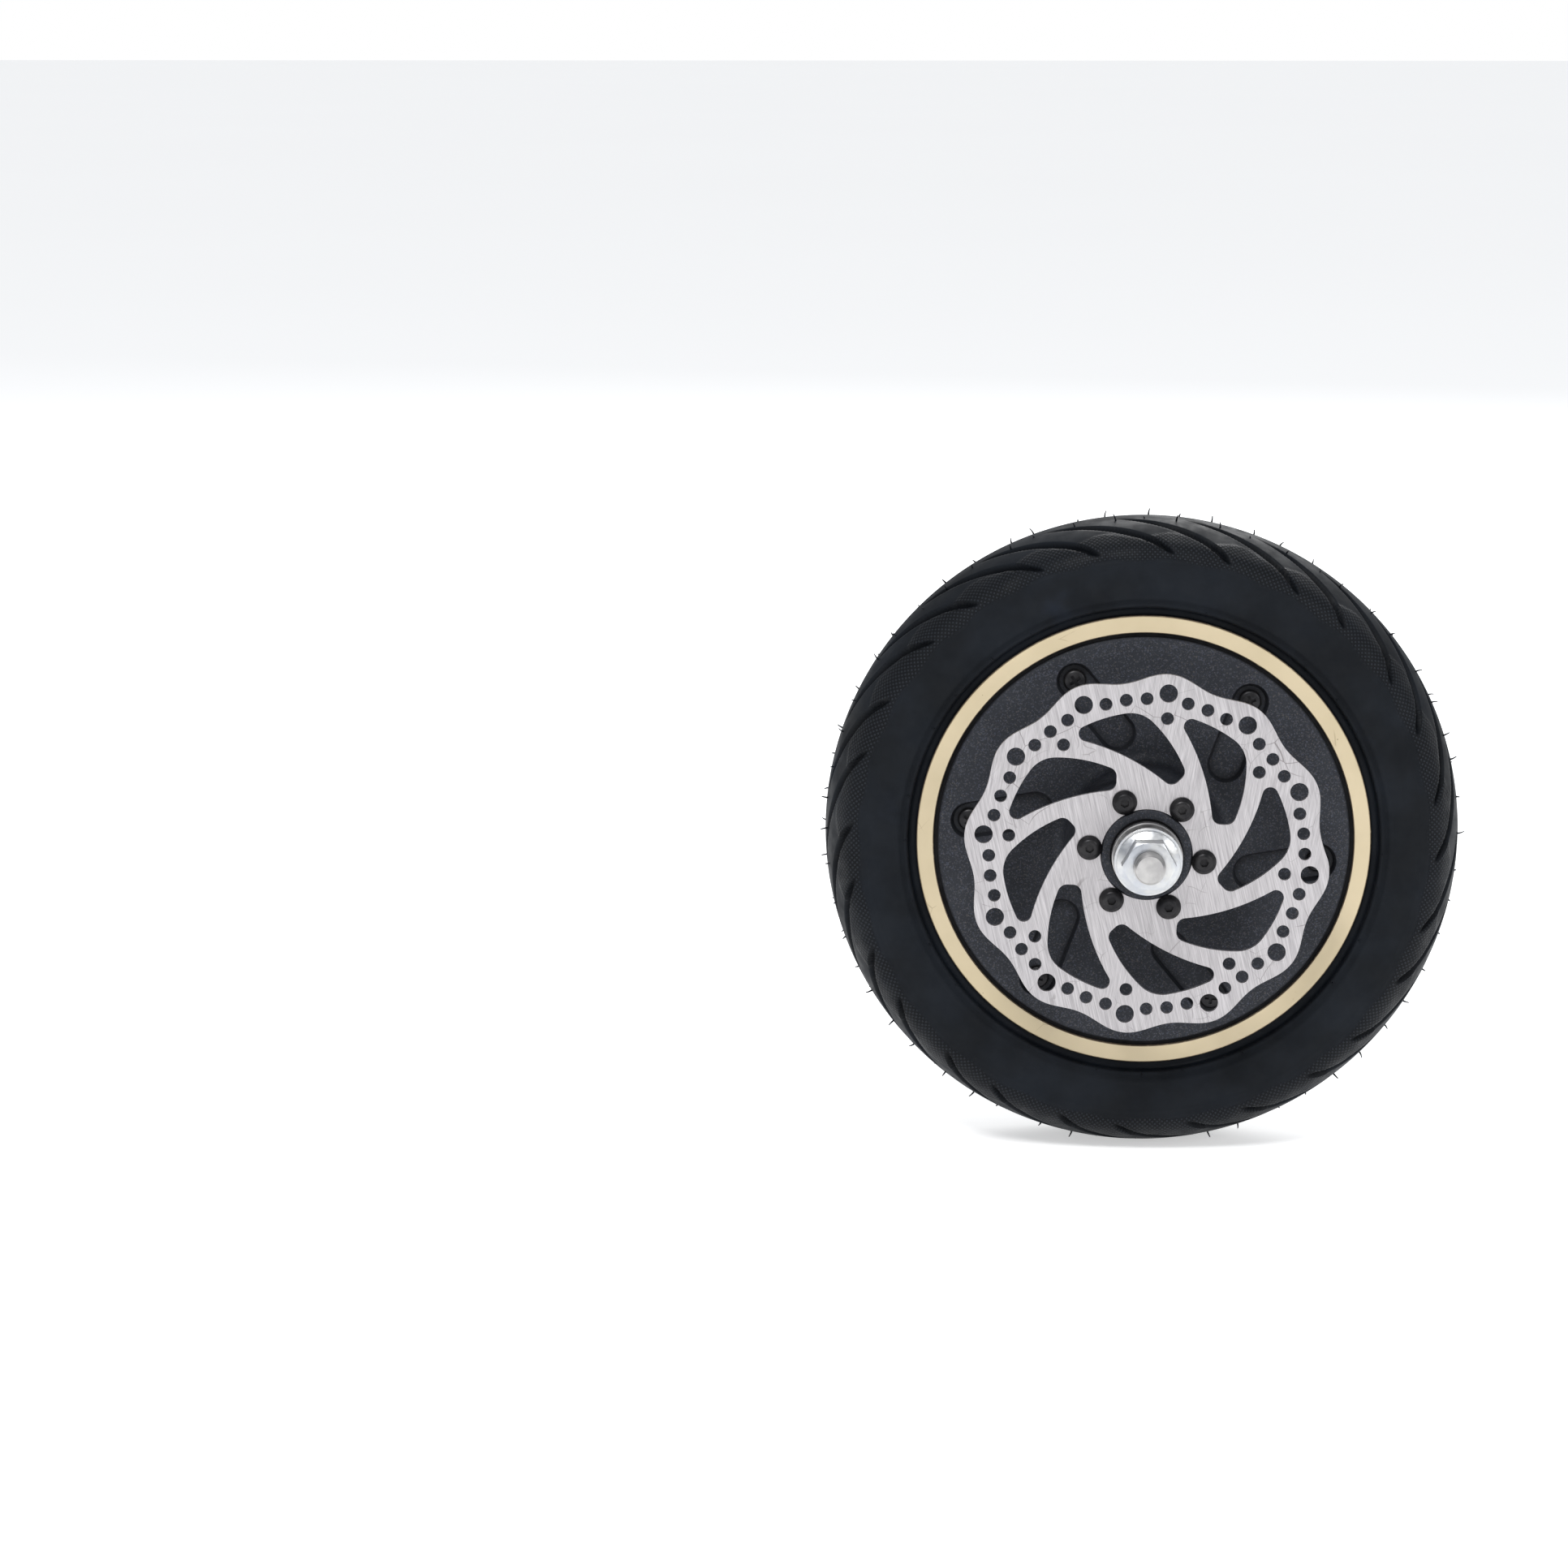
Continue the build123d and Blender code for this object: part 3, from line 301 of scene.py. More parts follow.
def disc_steel():
    """Brushed steel with stains and hair-thin scratches."""
    made = Nodes("disc_steel")
    brushed = made.noise(1.0, 4.0, 0.65, made.scaled(1900.0, 90.0, 55.0, tilt=13.0))
    cross = made.noise(1.0, 4.0, 0.65, made.scaled(1500.0, 90.0, 70.0, tilt=-9.0))
    grain = made.mix(made.ramp(made.noise(26.0), 0.45, 0.70), brushed, cross)
    tone = made.mix(made.ramp(grain, 0.28, 0.72), colour(0.345, 0.328, 0.338), colour(0.620, 0.598, 0.608))
    stain = made.math("MULTIPLY", made.ramp(made.noise(40.0, 5.0), 0.56, 0.74), 0.35)
    tone = made.mix(stain, tone, colour(0.33, 0.31, 0.315))
    swirl = made.cells(44.0, "DISTANCE_TO_EDGE", vector=warped(made, 14.0, 0.05))
    patches = made.ramp(made.noise(33.0, 1.0), 0.52, 0.60)
    line = made.math("MULTIPLY", made.ramp(swirl, 0.0085, 0.003), patches)
    fine = made.cells(120.0, "DISTANCE_TO_EDGE", vector=warped(made, 30.0, 0.03))
    small_patches = made.ramp(made.noise(70.0, 1.0), 0.56, 0.62)
    hair_line = made.math("MULTIPLY", made.ramp(fine, 0.016, 0.005), small_patches)
    marks = made.math("MAXIMUM", line, made.math("MULTIPLY", hair_line, 0.6))
    made.set(Base_Color=made.mix(made.math("MULTIPLY", marks, 0.62), tone, colour(0.15, 0.13, 0.13)))
    made.set(Metallic=0.88)
    made.set(Roughness=made.ramp(grain, 0.2, 0.8, 0.40, 0.56))
    made.bump(grain, 0.20, 0.00006)
    return made.material


def metal(name, tone, other, roughness, metallic=1.0, grain=(700.0, 700.0, 700.0), depth=0.12):
    """A plain metal whose tone and gloss drift a little, with a fine directional grain."""
    made = Nodes(name)
    drift = made.noise(140.0, 5.0)
    fine = made.noise(1.0, 3.0, 0.6, made.scaled(*grain))
    made.set(Base_Color=made.mix(made.ramp(drift, 0.3, 0.7), colour(*tone), colour(*other)))
    made.set(Metallic=metallic)
    made.set(Roughness=made.ramp(fine, 0.25, 0.75, roughness - 0.08, roughness + 0.10))
    made.bump(fine, depth, 0.00008)
    return made.material


def threaded_axle():
    """Turned steel, darker in the roots of the thread on its thinner ends."""
    made = Nodes("threaded_axle_steel")
    split = made.node("ShaderNodeSeparateXYZ")
    made.link(made.place, split.inputs[0])
    around = made.math("ARCTAN2", split.outputs[2], split.outputs[0])
    along = made.math("MULTIPLY_ADD", split.outputs[1], 2 * math.pi / (THREAD_PITCH * MM), around)
    root = made.ramp(made.math("SINE", along), 0.0, 1.0)
    height = made.math("ABSOLUTE", split.outputs[1])
    beyond = made.ramp(height, (THREAD_FROM - 0.1) * MM, (THREAD_FROM + 0.1) * MM)
    outside = made.ramp(made.radius(), (THREAD_ROOT_R - 0.1) * MM, (THREAD_ROOT_R + 0.1) * MM)
    root = made.math("MULTIPLY", root, made.math("MULTIPLY", beyond, outside))
    drift = made.ramp(made.noise(140.0, 5.0), 0.3, 0.7)
    tone = made.mix(drift, colour(0.38, 0.37, 0.37), colour(0.52, 0.51, 0.50))
    # the thread's roots are painted darker
    made.set(Base_Color=made.mix(made.math("MULTIPLY", root, 0.6), tone, colour(0.10, 0.09, 0.085)))
    made.set(Metallic=1.0)
    fine = made.noise(300.0)
    made.set(Roughness=made.ramp(fine, 0.3, 0.7, 0.28, 0.42))
    made.bump(fine, 0.10, 0.0001)
    return made.material


def plastic(name, tone, other, roughness, shine=0.4, scale=600.0, depth=0.12):
    """Moulded plastic or rubber with a faint grain and uneven tone."""
    made = Nodes(name)
    made.set(Base_Color=made.mix(made.ramp(made.noise(90.0, 4.0), 0.3, 0.7), colour(*tone), colour(*other)))
    fine = made.noise(scale, 4.0)
    made.set(Roughness=made.ramp(fine, 0.3, 0.7, roughness - 0.06, roughness + 0.08))
    made.set(Specular_IOR_Level=shine)
    made.bump(fine, depth, 0.0001)
    return made.material


def banded(name, tone, other, roughness, metallic, pitch, axis):
    """Fine repeated bands across one axis, as on wound wire or stacked sheets."""
    made = Nodes(name)
    split = made.node("ShaderNodeSeparateXYZ")
    made.link(made.place, split.inputs[0])
    wave = made.math("SINE", made.math("MULTIPLY", split.outputs[axis], 2 * math.pi / pitch))
    bands = made.math("MULTIPLY_ADD", wave, 0.5, 0.5)
    made.set(Base_Color=made.mix(bands, colour(*tone), colour(*other)))
    made.set(Metallic=metallic)
    made.set(Roughness=made.ramp(made.noise(300.0), 0.3, 0.7, roughness - 0.05, roughness + 0.08))
    made.bump(bands, 0.5, 0.00015)
    return made.material


def circuit_green():
    """Green board lacquer over a net of tracks."""
    made = Nodes("board_plastic")
    track = made.ramp(made.cells(260.0, "DISTANCE_TO_EDGE"), 0.05, 0.09)
    made.set(Base_Color=made.mix(track, colour(0.02, 0.20, 0.08), colour(0.010, 0.085, 0.035)))
    made.set(Roughness=made.ramp(made.noise(400.0), 0.3, 0.7, 0.30, 0.42))
    made.bump(track, 0.3, 0.00008)
    return made.material


def every_material():
    """One material for each slot in the record."""
    ring_grain = (300.0, 5200.0, 300.0)
    return {
        "tyre_rubber": tyre_rubber(),
        "rim_paint": rim_paint(),
        "cover_coat": cover_coat(),
        "disc_steel": disc_steel(),
        "black_steel": metal("black_steel", (0.012, 0.012, 0.014), (0.030, 0.029, 0.030), 0.38, 0.75),
        "axle_steel": metal("axle_steel", (0.40, 0.39, 0.39), (0.52, 0.51, 0.50), 0.34, 1.0, ring_grain, 0.3),
        "bright_steel": metal("bright_steel", (0.60, 0.60, 0.62), (0.68, 0.68, 0.69), 0.22, 1.0, ring_grain),
        "zinc_steel": metal("zinc_steel", (0.50, 0.52, 0.56), (0.64, 0.64, 0.63), 0.36),
        "bare_aluminium": metal("bare_aluminium", (0.62, 0.62, 0.64), (0.72, 0.72, 0.73), 0.42),
        "back_iron": metal("back_iron", (0.18, 0.17, 0.17), (0.28, 0.27, 0.26), 0.48, 1.0, ring_grain),
        "magnet_plating": metal("magnet_plating", (0.55, 0.54, 0.52), (0.66, 0.65, 0.62), 0.26),
        "valve_brass": metal("valve_brass", (0.62, 0.44, 0.17), (0.72, 0.55, 0.26), 0.30, 1.0, ring_grain),
        "black_rubber": plastic("black_rubber", (0.003, 0.003, 0.0035), (0.008, 0.008, 0.009), 0.7, 0.15),
        "shield_rubber": plastic("shield_rubber", (0.012, 0.012, 0.014), (0.022, 0.022, 0.025), 0.5),
        "black_plastic": plastic("black_plastic", (0.010, 0.010, 0.011), (0.019, 0.019, 0.020), 0.36),
        "insulator_plastic": plastic("insulator_plastic", (0.66, 0.64, 0.56), (0.76, 0.74, 0.66), 0.5),
        "sensor_plastic": plastic("sensor_plastic", (0.014, 0.014, 0.014), (0.03, 0.03, 0.03), 0.5),
        "lead_plastic": plastic("lead_plastic", (0.07, 0.12, 0.40), (0.10, 0.17, 0.50), 0.4),
        "board_plastic": circuit_green(),
        "copper_wire": banded("copper_wire", (0.42, 0.13, 0.05), (0.80, 0.36, 0.18), 0.32, 0.9, 0.0009, 1),
        "lamination_steel": banded("lamination_steel", (0.16, 0.16, 0.17), (0.34, 0.34, 0.35), 0.45, 1.0,
                                   0.0007, 1),
    }


# ---------------------------------------------------------------- CAD nodes

# how far each node's sharp edges are rounded
BEVELS = {
    "brake_side_cover": 0.45,
    "cable_side_cover": 0.45,
    "rim": 0.2,
    "brake_rotor": 0.12,
    "rotor_bolts": 0.15,
    "brake_side_cover_screws": 0.15,
    "cable_side_cover_screws": 0.15,
    "brake_side_axle_nut": 0.25,
    "cable_side_axle_nut": 0.25,
    "brake_side_tab_washer": 0.2,
    "cable_side_tab_washer": 0.2,
}


def soften(node, width):
    """Joins the mesh's split corners, rounds its sharp edges and evens out the shading."""
    piece = frame["nodes"][node]
    custom = piece.data.attributes.get("custom_normal")
    if custom is not None:
        piece.data.attributes.remove(custom)
    sharp = piece.data.attributes.get("sharp_edge")
    if sharp is not None:
        piece.data.attributes.remove(sharp)
    piece.data.shade_smooth()
    weld = piece.modifiers.new("join corners", "WELD")
    weld.merge_threshold = 0.000002
    bevel = piece.modifiers.new("round edges", "BEVEL")
    bevel.width = width * MM
    bevel.segments = 2
    bevel.limit_method = "ANGLE"
    bevel.angle_limit = math.radians(32)
    bevel.use_clamp_overlap = True
    bevel.miter_outer = "MITER_ARC"
    even = piece.modifiers.new("even shading", "WEIGHTED_NORMAL")
    even.keep_sharp = False
    even.weight = 80


def dress_frame(materials):
    """Gives every CAD node its slot's material, and rounds the edges of those in BEVELS."""
    slots = {entry["node"]: entry["material_slot"] for entry in frame["record"]["subparts"]}
    for node, piece in frame["nodes"].items():
        piece.data.materials.clear()
        piece.data.materials.append(materials[slots[node]])
    for node, width in BEVELS.items():
        soften(node, width)


# ---------------------------------------------------------------- mesh tools

def add_object(name, data):
    made = bpy.data.objects.new(name, data)
    bpy.context.scene.collection.objects.link(made)
    return made


def outward_mesh(name, points, faces):
    """A mesh whose faces all look outwards."""
    mesh = bpy.data.meshes.new(name)
    mesh.from_pydata([tuple(point) for point in points], [], faces)
    mesh.update()
    shell = bmesh.new()
    shell.from_mesh(mesh)
    bmesh.ops.recalc_face_normals(shell, faces=shell.faces)
    shell.to_mesh(mesh)
    shell.free()
    return mesh


def add_piece(name, mesh, body, material):
    """A smooth piece that moves with a CAD body and takes its finish from a slot."""
    mesh.shade_smooth()
    mesh.materials.clear()
    mesh.materials.append(material)
    piece = add_object(name, mesh)
    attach(piece, body)
    return piece


def grid_faces(rows, columns, wrap_rows=True):
    """Faces of a grid of points that closes round its columns and, if asked, round its rows too."""
    faces = []
    last = rows if wrap_rows else rows - 1
    for row in range(last):
        above = (row + 1) % rows
        for column in range(columns):
            beside = (column + 1) % columns
            faces.append((row * columns + column, row * columns + beside,
                          above * columns + beside, above * columns + column))
    return faces


def spun(profile_r, profile_y, angles):
    """Points of a profile turned about the axle. Each input may be a grid or a column."""
    across = [profile_r * np.cos(angles), profile_y + 0 * angles, profile_r * np.sin(angles)]
    return np.stack(across, -1) * MM


# ---------------------------------------------------------------- tyre

GROOVES = 28
STEPS_PER_GROOVE = 40
GROOVE_START, GROOVE_END = 31.2, 5.0
GROOVE_SWEEP, GROOVE_CURL = 14.5, 8.0
GROOVE_DEPTH = 2.3
GROOVE_TURN = -4.0
CROWN_R = 44.4
SHOULDER_Y = 26.0
WALL_FROM, WALL_TO, WALL_WIDEST = 94.5, 112.0, 103.0
SHOULDER_BULGE_R = 113.8
TREAD_STEP = 0.7
WALL_STEP = 0.8
KNURL_INNER, KNURL_OUTER, KNURL_HEIGHT = 110.0, 119.0, 0.3
# radius, height and width of the lines left by the mould
MOULD_LINES = ((109.3, 0.24, 0.7), (95.3, 0.20, 0.55), (107.1, 0.20, 0.55))
# radius and distance from the middle, from the rim's seat up to the wall
TYRE_FOOT = [(82.62, 20.3), (84.2, 21.75), (87.9, 23.2), (88.35, 23.5), (88.9, 23.65), (90.0, 23.85),
             (90.75, 24.2), (91.1, 25.0), (91.3, 26.3), (91.5, 27.2), (91.9, 27.62), (92.4, 27.72),
             (93.1, 27.85)]
# the hollow side, from the crown back down to the rim's seat
TYRE_INSIDE = [(117.2, 0.0), (116.0, 10.0), (110.8, 21.4), (101.5, 24.8), (91.0, 20.4), (87.6, 16.4),
               (82.62, 14.2)]


def tyre_outer_profile():
    """Half of the tyre's outside, from the rim to the crown, as radius and distance from the middle."""
    wall = []
    for radius in np.arange(WALL_FROM, WALL_TO, WALL_STEP):
        swell = (radius - WALL_WIDEST) / 14.0
        wall.append((radius, TYRE_HALF - 0.05 - 3.1 * swell ** 2))
    tread = []
    last_angle = math.asin(SHOULDER_Y / CROWN_R)
    count = int(CROWN_R * last_angle / TREAD_STEP)
    for index in range(count + 1):
        angle = last_angle * (1 - index / count)
        tread.append((TYRE_R - CROWN_R * (1 - math.cos(angle)), CROWN_R * math.sin(angle)))
    link = []
    start, end = wall[-1], tread[0]
    for share in np.linspace(0, 1, 9)[1:-1]:
        link.append((start[0] + share * (end[0] - start[0]), start[1] + share * (end[1] - start[1])))
    rounded = np.array(wall + link + tread)
    for _ in range(14):
        rounded[1:-1] = 0.25 * rounded[:-2] + 0.5 * rounded[1:-1] + 0.25 * rounded[2:]
    bulge = np.exp(-((rounded[:, 0] - SHOULDER_BULGE_R) / 3.2) ** 2)
    rounded[:, 1] += 0.35 * bulge
    return np.vstack([np.array(TYRE_FOOT), rounded])


def groove_depth(across, turn):
    """How deep the swept grooves cut, and where, from the distance to the crown's middle and the angle."""
    reach_across = GROOVE_START - GROOVE_END
    along = np.clip((GROOVE_START - across) / reach_across, 0, 1)
    centre = GROOVE_SWEEP * along + GROOVE_CURL * along ** 2
    pitch = 360 / GROOVES
    index = np.round((turn - centre) / pitch)
    uneven = 0.85 * np.where(index % 2 == 0, 1, -1) * (1 - along)
    away = turn - centre - index * pitch - uneven
    slope = (GROOVE_SWEEP + 2 * GROOVE_CURL * along) / reach_across
    radius = TYRE_R - 0.28 * across
    sideways = radius * np.radians(slope)
    distance = np.abs(radius * np.radians(away)) / np.sqrt(1 + sideways ** 2)
    width = 0.55 + 1.00 * np.sin(np.pi * along ** 0.7) ** 0.8
    inside = (across < GROOVE_START) & (across > GROOVE_END)
    cut = np.clip((width - distance) / 0.75 + 0.5, 0, 1)
    cut = cut * cut * (3 - 2 * cut)
    deep = GROOVE_DEPTH * np.clip(9.0 * along, 0, 1) * np.clip(2.5 * (1 - along), 0, 1)
    return np.where(inside, cut * deep, 0.0), np.where(inside, cut, 0.0)


def tyre_half(name, side, shift, material):
    """One half of the tyre, from the bead to the mould's parting line, as a closed shell."""
    outer = tyre_outer_profile()
    steps = np.hypot(*np.diff(outer[::-1], axis=0).T)
    across = np.concatenate([[0], np.cumsum(steps)])[::-1]
    tangent = np.gradient(outer, axis=0)
    tangent /= np.hypot(*tangent.T)[:, None]
    normal = np.stack([tangent[:, 1] * -1, tangent[:, 0]], -1)
    normal *= np.sign(normal[:, 1:2] + normal[:, 0:1] + 1e-9)
    columns = GROOVES * STEPS_PER_GROOVE
    turn = np.arange(columns) * 360 / columns
    grid_across, grid_turn = np.meshgrid(across, turn, indexing="ij")
    depth, groove_and_shade = groove_depth(grid_across, (grid_turn - shift) % 360)
    radius = outer[:, 0:1]
    lines = sum(height * np.exp(-((radius - at) / width) ** 2) for at, height, width in MOULD_LINES)
    parting = 0.10 * np.exp(-(grid_across / 0.45) ** 2)
    band = knurl_band(radius, grid_turn - shift)
    lift = lines + parting + KNURL_HEIGHT * band - depth
    grid_r = radius + normal[:, 0:1] * lift
    grid_y = outer[:, 1:2] + normal[:, 1:2] * lift
    grid_r[-1] = TYRE_R
    grid_y[-1] = 0
    inner = np.array(TYRE_INSIDE)
    grid_r = np.vstack([grid_r, np.repeat(inner[:, 0:1], columns, 1)])
    grid_y = np.vstack([grid_y, np.repeat(inner[:, 1:2], columns, 1)])
    points = spun(grid_r, side * grid_y, np.radians(turn)[None, :]).reshape(-1, 3)
    mesh = outward_mesh(name, points, grid_faces(len(grid_r), columns))
    piece = add_piece(name, mesh, "wheel", material)
    hidden = np.zeros((len(inner), columns))
    add_attribute(piece, "knurl", np.vstack([band * (1 - groove_and_shade), hidden]))
    # where the grooves are, which the rubber also uses for painted shade in the grooves
    add_attribute(piece, "groove_and_shade", np.vstack([groove_and_shade, hidden]))
    add_tread_map(piece, np.concatenate([across, np.zeros(len(inner))]), columns)
    return piece


def knurl_band(radius, turn):
    """Where the shoulder carries its fine studs: a band whose outer border waves with the tread."""
    wave = np.sin(np.radians((turn + 4.0) * GROOVES))
    outer = np.clip((KNURL_OUTER + 0.9 * wave - radius) / 0.6, 0, 1)
    inner = np.clip((radius - KNURL_INNER - 0.6 * wave) / 0.6, 0, 1)
    return outer * inner


def add_attribute(piece, name, values):
    """A number at every point, for the piece's material."""
    attribute = piece.data.attributes.new(name, "FLOAT", "POINT")
    attribute.data.foreach_set("value", values.astype(np.float32).ravel())


def add_tread_map(piece, across, columns):
    """A map whose first value is the turn about the axle and second the distance from the crown."""
    layer = piece.data.uv_layers.new(name="tread")
    vertex = np.zeros(len(piece.data.loops), np.int64)
    piece.data.loops.foreach_get("vertex_index", vertex)
    row, column = vertex // columns, vertex % columns
    in_last_face = np.repeat(column.reshape(-1, 4).max(1) == columns - 1, 4)
    turn = np.where(in_last_face & (column == 0), columns, column) / columns
    layer.data.foreach_set("uv", np.stack([turn, across[row]], -1).astype(np.float32).ravel())


HAIR_CORNERS, HAIR_LEVELS, HAIR_R = 6, 4, 0.40
TREAD_HAIRS, RIDGE_HAIRS, PRESSED_HAIR = [1.0, 1.6, 2.2, 2.8], [0.6, 0.9, 1.5], 0.5
RIDGE_R, RIDGE_Y, RIDGE_LEAN = 92.3, 27.6, 72.0


def hair(points, faces, root, out, length, random):
    """One thin tapering hair that bends a little."""
    corners, levels = HAIR_CORNERS, HAIR_LEVELS
    bend = Vector((random.uniform(-1, 1), random.uniform(-1, 1), random.uniform(-1, 1)))
    across = out.cross(bend).normalized()
    other = out.cross(across)
    first = len(points)
    for level in range(levels):
        share = level / (levels - 1)
        centre = root + out * (length * share - 0.3) + across * (0.35 * length * share ** 2)
        width = HAIR_R * (1 - 0.5 * share)
        for corner in range(corners):
            way = 2 * math.pi * corner / corners
            points.append((centre + (across * math.cos(way) + other * math.sin(way)) * width) * MM)
    for level in range(levels - 1):
        for corner in range(corners):
            beside = (corner + 1) % corners
            low, high = first + level * corners, first + (level + 1) * corners
            faces.append((low + corner, low + beside, high + beside, high + corner))
    faces.append(tuple(range(first, first + corners)))
    faces.append(tuple(range(first + (levels - 1) * corners, first + levels * corners)))


def vent_hairs(name, side, material):
    """Hairs left by the mould's vents: a ring beside the tread's middle and one on the rim ridge."""
    random = np.random.default_rng(SEED + side)
    points, faces = [], []

    def around(radius, angle, y):
        return Vector((radius * math.cos(angle), side * y, radius * math.sin(angle)))

    for index in range(GROOVES * 2):
        angle = math.radians(index * 180 / GROOVES + random.uniform(-1.2, 1.2))
        lean = math.asin(random.uniform(5.0, 9.0) / CROWN_R)
        length = random.choice(TREAD_HAIRS)
        on_the_floor = abs(math.degrees(angle) - 270) < 10
        if on_the_floor:
            length = PRESSED_HAIR
        root = around(TYRE_R - CROWN_R * (1 - math.cos(lean)), angle, CROWN_R * math.sin(lean))
        hair(points, faces, root, around(math.cos(lean), angle, math.sin(lean)), length, random)
    for index in range(GROOVES):
        angle = math.radians(index * 360 / GROOVES + random.uniform(-3.0, 3.0))
        lean = math.radians(RIDGE_LEAN)
        root = around(RIDGE_R, angle, RIDGE_Y)
        length = random.choice(RIDGE_HAIRS)
        hair(points, faces, root, around(math.cos(lean), angle, math.sin(lean)), length, random)
    add_piece(name, outward_mesh(name, points, faces), "wheel", material)


def build_tyre(material):
    """Both halves, half a groove apart, and their vent hairs."""
    brake = tyre_half("tyre_brake_side_half", -1, GROOVE_TURN, material)
    tyre_half("tyre_cable_side_half", 1, GROOVE_TURN + 180 / GROOVES, material)
    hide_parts("tyre")
    for name, side in SIDES.items():
        vent_hairs(f"tyre_{name}_vent_hairs", side, material)


# ---------------------------------------------------------------- axle thread and valve cap

THREAD_ROWS_PER_TURN, THREAD_COLUMNS = 10, 72
CUTTER_WALL, CREST_ABOVE = 0.9, 0.07
CAP_RIBS, RIB_DEPTH, RIB_COLUMNS = 24, 0.32, 8
CAP_R, CAP_BORE_R, CAP_HALF, CAP_INSIDE = 4.6, 3.08, 5.5, 4.0
# height from the cap's middle, radius and how deep the ribs are there, from inside round to the crown
CAP_PROFILE = [(CAP_INSIDE, CAP_BORE_R, 0), (-CAP_HALF, CAP_BORE_R, 0)]
CAP_PROFILE += [(-CAP_HALF, 4.35, 0), (-5.3, CAP_R, 0)]
CAP_PROFILE += [(height, CAP_R, 1.0) for height in (-4.9, -3.0, 0.0, 3.0, 3.9)]
CAP_PROFILE += [(4.4, CAP_R, 0), (4.7, 4.58, 0), (4.85, 4.45, 0), (5.4, 3.9, 0), (CAP_HALF, 3.7, 0)]


def thread_cutter(side, start, end):
    """A tube round the axle's end whose inside is the thread's groove."""
    count = int((end - start) / THREAD_PITCH * THREAD_ROWS_PER_TURN)
    along = np.linspace(start, end, count)[:, None]
    around = 2 * math.pi * (np.arange(THREAD_COLUMNS) / THREAD_COLUMNS)[None, :]
    phase = 2 * math.pi * side * along / THREAD_PITCH + around
    rise = np.arccos(np.clip(np.sin(phase), -1, 1)) / math.pi
    radius = THREAD_ROOT_R + (THREAD_R - THREAD_ROOT_R + CREST_ABOVE) * rise
    outside = np.full((2, THREAD_COLUMNS), THREAD_R + CUTTER_WALL)
    radius = np.vstack([radius, outside])
    along = np.vstack([along, [[end], [start]]])
    points = spun(radius, side * along, around).reshape(-1, 3)
    mesh = outward_mesh("thread_cutter", points, grid_faces(len(radius), THREAD_COLUMNS))
    return add_object("thread_cutter", mesh)


def settled(piece):
    """The piece's mesh with its modifiers applied, in the shared frame."""
    bpy.context.view_layer.update()
    graph = bpy.context.evaluated_depsgraph_get()
    mesh = bpy.data.meshes.new_from_object(piece.evaluated_get(graph))
    mesh.transform(piece.matrix_world)
    custom = mesh.attributes.get("custom_normal")
    if custom is not None:
        mesh.attributes.remove(custom)
    return mesh


def build_threaded_axle(material):
    """The axle again, with a real thread cut where its ends show."""
    blank = add_object("axle_blank", settled(frame["nodes"]["axle"]))
    cutters = [thread_cutter(side, *run) for side in SIDES.values() for run in THREAD_RUNS]
    for cutter in cutters:
        cut = blank.modifiers.new("cut thread", "BOOLEAN")
        cut.operation, cut.solver, cut.object = "DIFFERENCE", "EXACT", cutter
    mesh = settled(blank)
    for spare in cutters + [blank]:
        bpy.data.objects.remove(spare, do_unlink=True)
    piece = add_piece("threaded_axle", mesh, "axle_assembly", material)
    mesh.set_sharp_from_angle(angle=math.radians(38))
    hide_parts("axle")


def build_ribbed_cap(material):
    """The valve's cap with ribs to grip, about the line that it slides along."""
    low, high = (Vector(corner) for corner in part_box("valve_cap"))
    joints = {joint["name"]: joint for joint in frame["record"]["behaviour"]["joints"]}
    way = Vector(joints["valve_cap_removal"]["axis"]).normalized()
    first = way.orthogonal().normalized()
    second = way.cross(first)
    centre = (low + high) / 2
    columns = CAP_RIBS * RIB_COLUMNS
    points = []
    for height, radius, share in CAP_PROFILE:
        for column in range(columns):
            turn = 2 * math.pi * column / columns
            out = radius - share * RIB_DEPTH * (0.5 - 0.5 * math.cos(CAP_RIBS * turn))
            sideways = first * math.cos(turn) + second * math.sin(turn)
            points.append(centre + (way * height + sideways * out) * MM)
    faces = grid_faces(len(CAP_PROFILE), columns, wrap_rows=False)
    faces.append(tuple(range(columns)))
    faces.append(tuple(range(len(points) - columns, len(points))))
    mesh = outward_mesh("ribbed_valve_cap", points, faces)
    piece = add_piece("ribbed_valve_cap", mesh, "valve_cap", material)
    mesh.set_sharp_from_angle(angle=math.radians(40))
    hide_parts("valve_cap")


# ---------------------------------------------------------------- scene

CAMERA_PLACE = (-0.0795, -1.7751, 0.3236)
CAMERA_YAW, CAMERA_PITCH = -1.964, 9.791
CAMERA_LENS, SENSOR_WIDTH = 105.06, 36.0
FLOOR_HALF = 30.0


def make_camera():
    data = bpy.data.cameras.new("camera")
    data.lens = CAMERA_LENS
    data.sensor_width = SENSOR_WIDTH
    data.clip_start = 0.05
    data.clip_end = 2 * FLOOR_HALF
    camera = add_object("camera", data)
    camera.location = CAMERA_PLACE
    yaw, pitch = math.radians(CAMERA_YAW), math.radians(CAMERA_PITCH)
    ahead = Vector((math.sin(yaw) * math.cos(pitch), math.cos(yaw) * math.cos(pitch), -math.sin(pitch)))
    camera.rotation_mode = "QUATERNION"
    camera.rotation_quaternion = ahead.to_track_quat("-Z", "Y")
    bpy.context.scene.camera = camera


def add_lamp(name, place, size, power):
    """A round soft lamp that looks at the wheel's centre."""
    data = bpy.data.lights.new(name, "AREA")
    data.shape = "DISK"
    data.size = size
    data.energy = power
    lamp = add_object(name, data)
    lamp.location = place
    lamp.rotation_mode = "QUATERNION"
    lamp.rotation_quaternion = (-Vector(place)).to_track_quat("-Z", "Y")


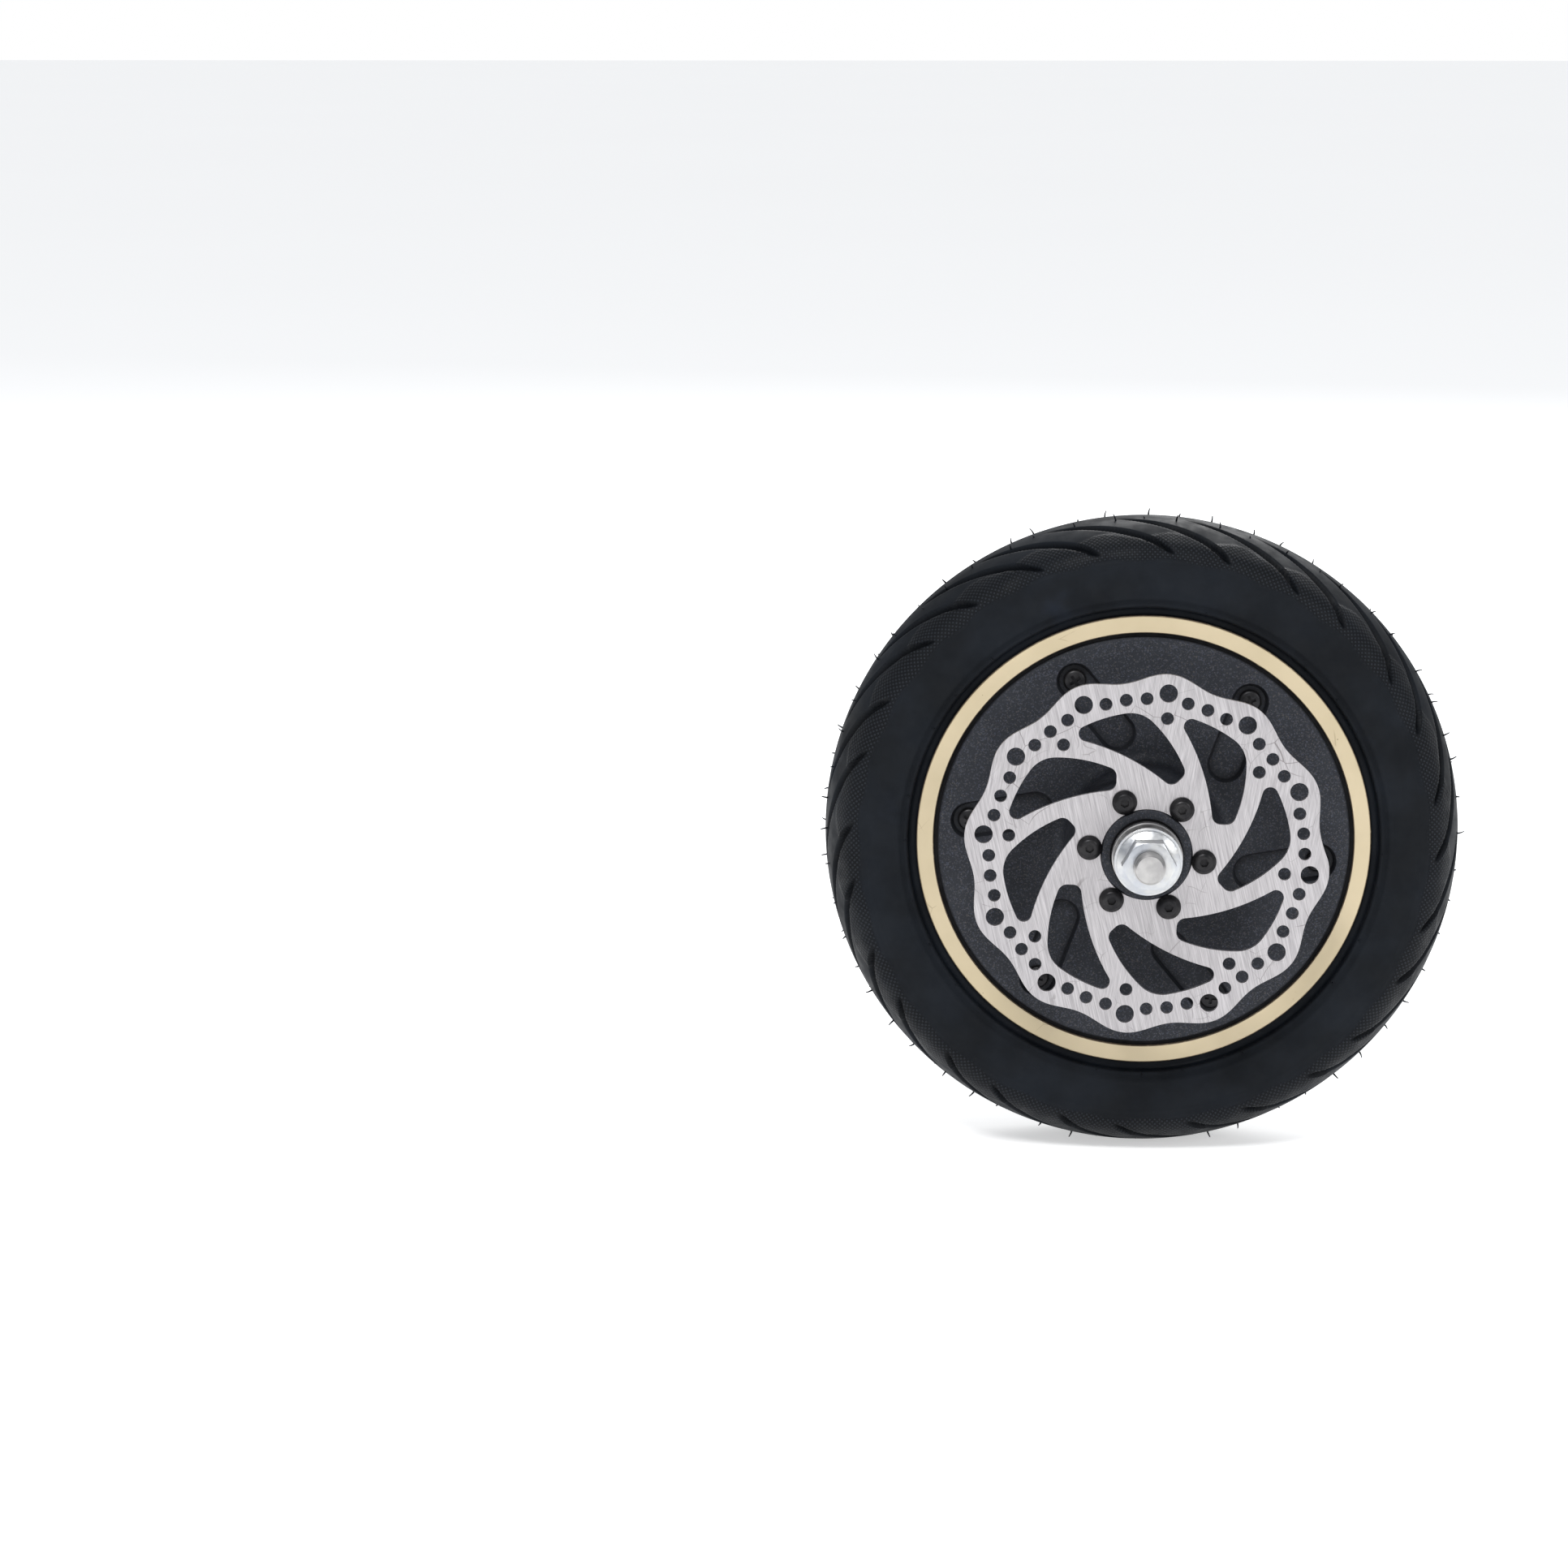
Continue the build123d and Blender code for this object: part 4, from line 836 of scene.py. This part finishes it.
def make_studio():
    """A pale floor, large soft lamps above and to the sides, and a white surround."""
    mesh = bpy.data.meshes.new("floor")
    corners = [(x * FLOOR_HALF, y * FLOOR_HALF, FLOOR_Z) for x, y in ((-1, -1), (1, -1), (1, 1), (-1, 1))]
    mesh.from_pydata(corners, [], [(0, 1, 2, 3)])
    floor = add_object("floor", mesh)
    pale = Nodes("floor_paper")
    drift = pale.noise(0.6)
    pale.set(Base_Color=pale.mix(drift, colour(0.90, 0.90, 0.90), colour(0.93, 0.93, 0.93)))
    pale.set(Roughness=0.9, Specular_IOR_Level=0.1, Emission_Color=colour(1, 1, 1), Emission_Strength=0.50)
    mesh.materials.append(pale.material)
    add_lamp("key", (-0.6, -1.9, 2.2), 0.9, 47.0)
    add_lamp("fill", (1.8, -1.6, 1.0), 1.2, 14.0)
    add_lamp("back", (0.5, 2.1, 1.7), 1.6, 36.0)
    make_surround()


def make_surround():
    """Soft light from all round, which the camera sees as plain white."""
    world = bpy.data.worlds.new("studio")
    bpy.context.scene.world = world
    world.use_nodes = True
    tree = world.node_tree
    tree.nodes.clear()
    output = tree.nodes.new("ShaderNodeOutputWorld")
    blend = tree.nodes.new("ShaderNodeMixShader")
    path = tree.nodes.new("ShaderNodeLightPath")
    around = tree.nodes.new("ShaderNodeBackground")
    seen = tree.nodes.new("ShaderNodeBackground")
    around.inputs[0].default_value = (0.93, 0.96, 1.0, 1.0)
    around.inputs[1].default_value = 0.45
    seen.inputs[0].default_value = (1, 1, 1, 1)
    seen.inputs[1].default_value = 1.0
    tree.links.new(path.outputs["Is Camera Ray"], blend.inputs[0])
    tree.links.new(around.outputs[0], blend.inputs[1])
    tree.links.new(seen.outputs[0], blend.inputs[2])
    tree.links.new(blend.outputs[0], output.inputs[0])
    bpy.context.scene.view_settings.view_transform = "Standard"


materials = every_material()
make_camera()
make_studio()
dress_frame(materials)
build_tyre(materials["tyre_rubber"])
build_threaded_axle(threaded_axle())
build_ribbed_cap(materials["black_plastic"])
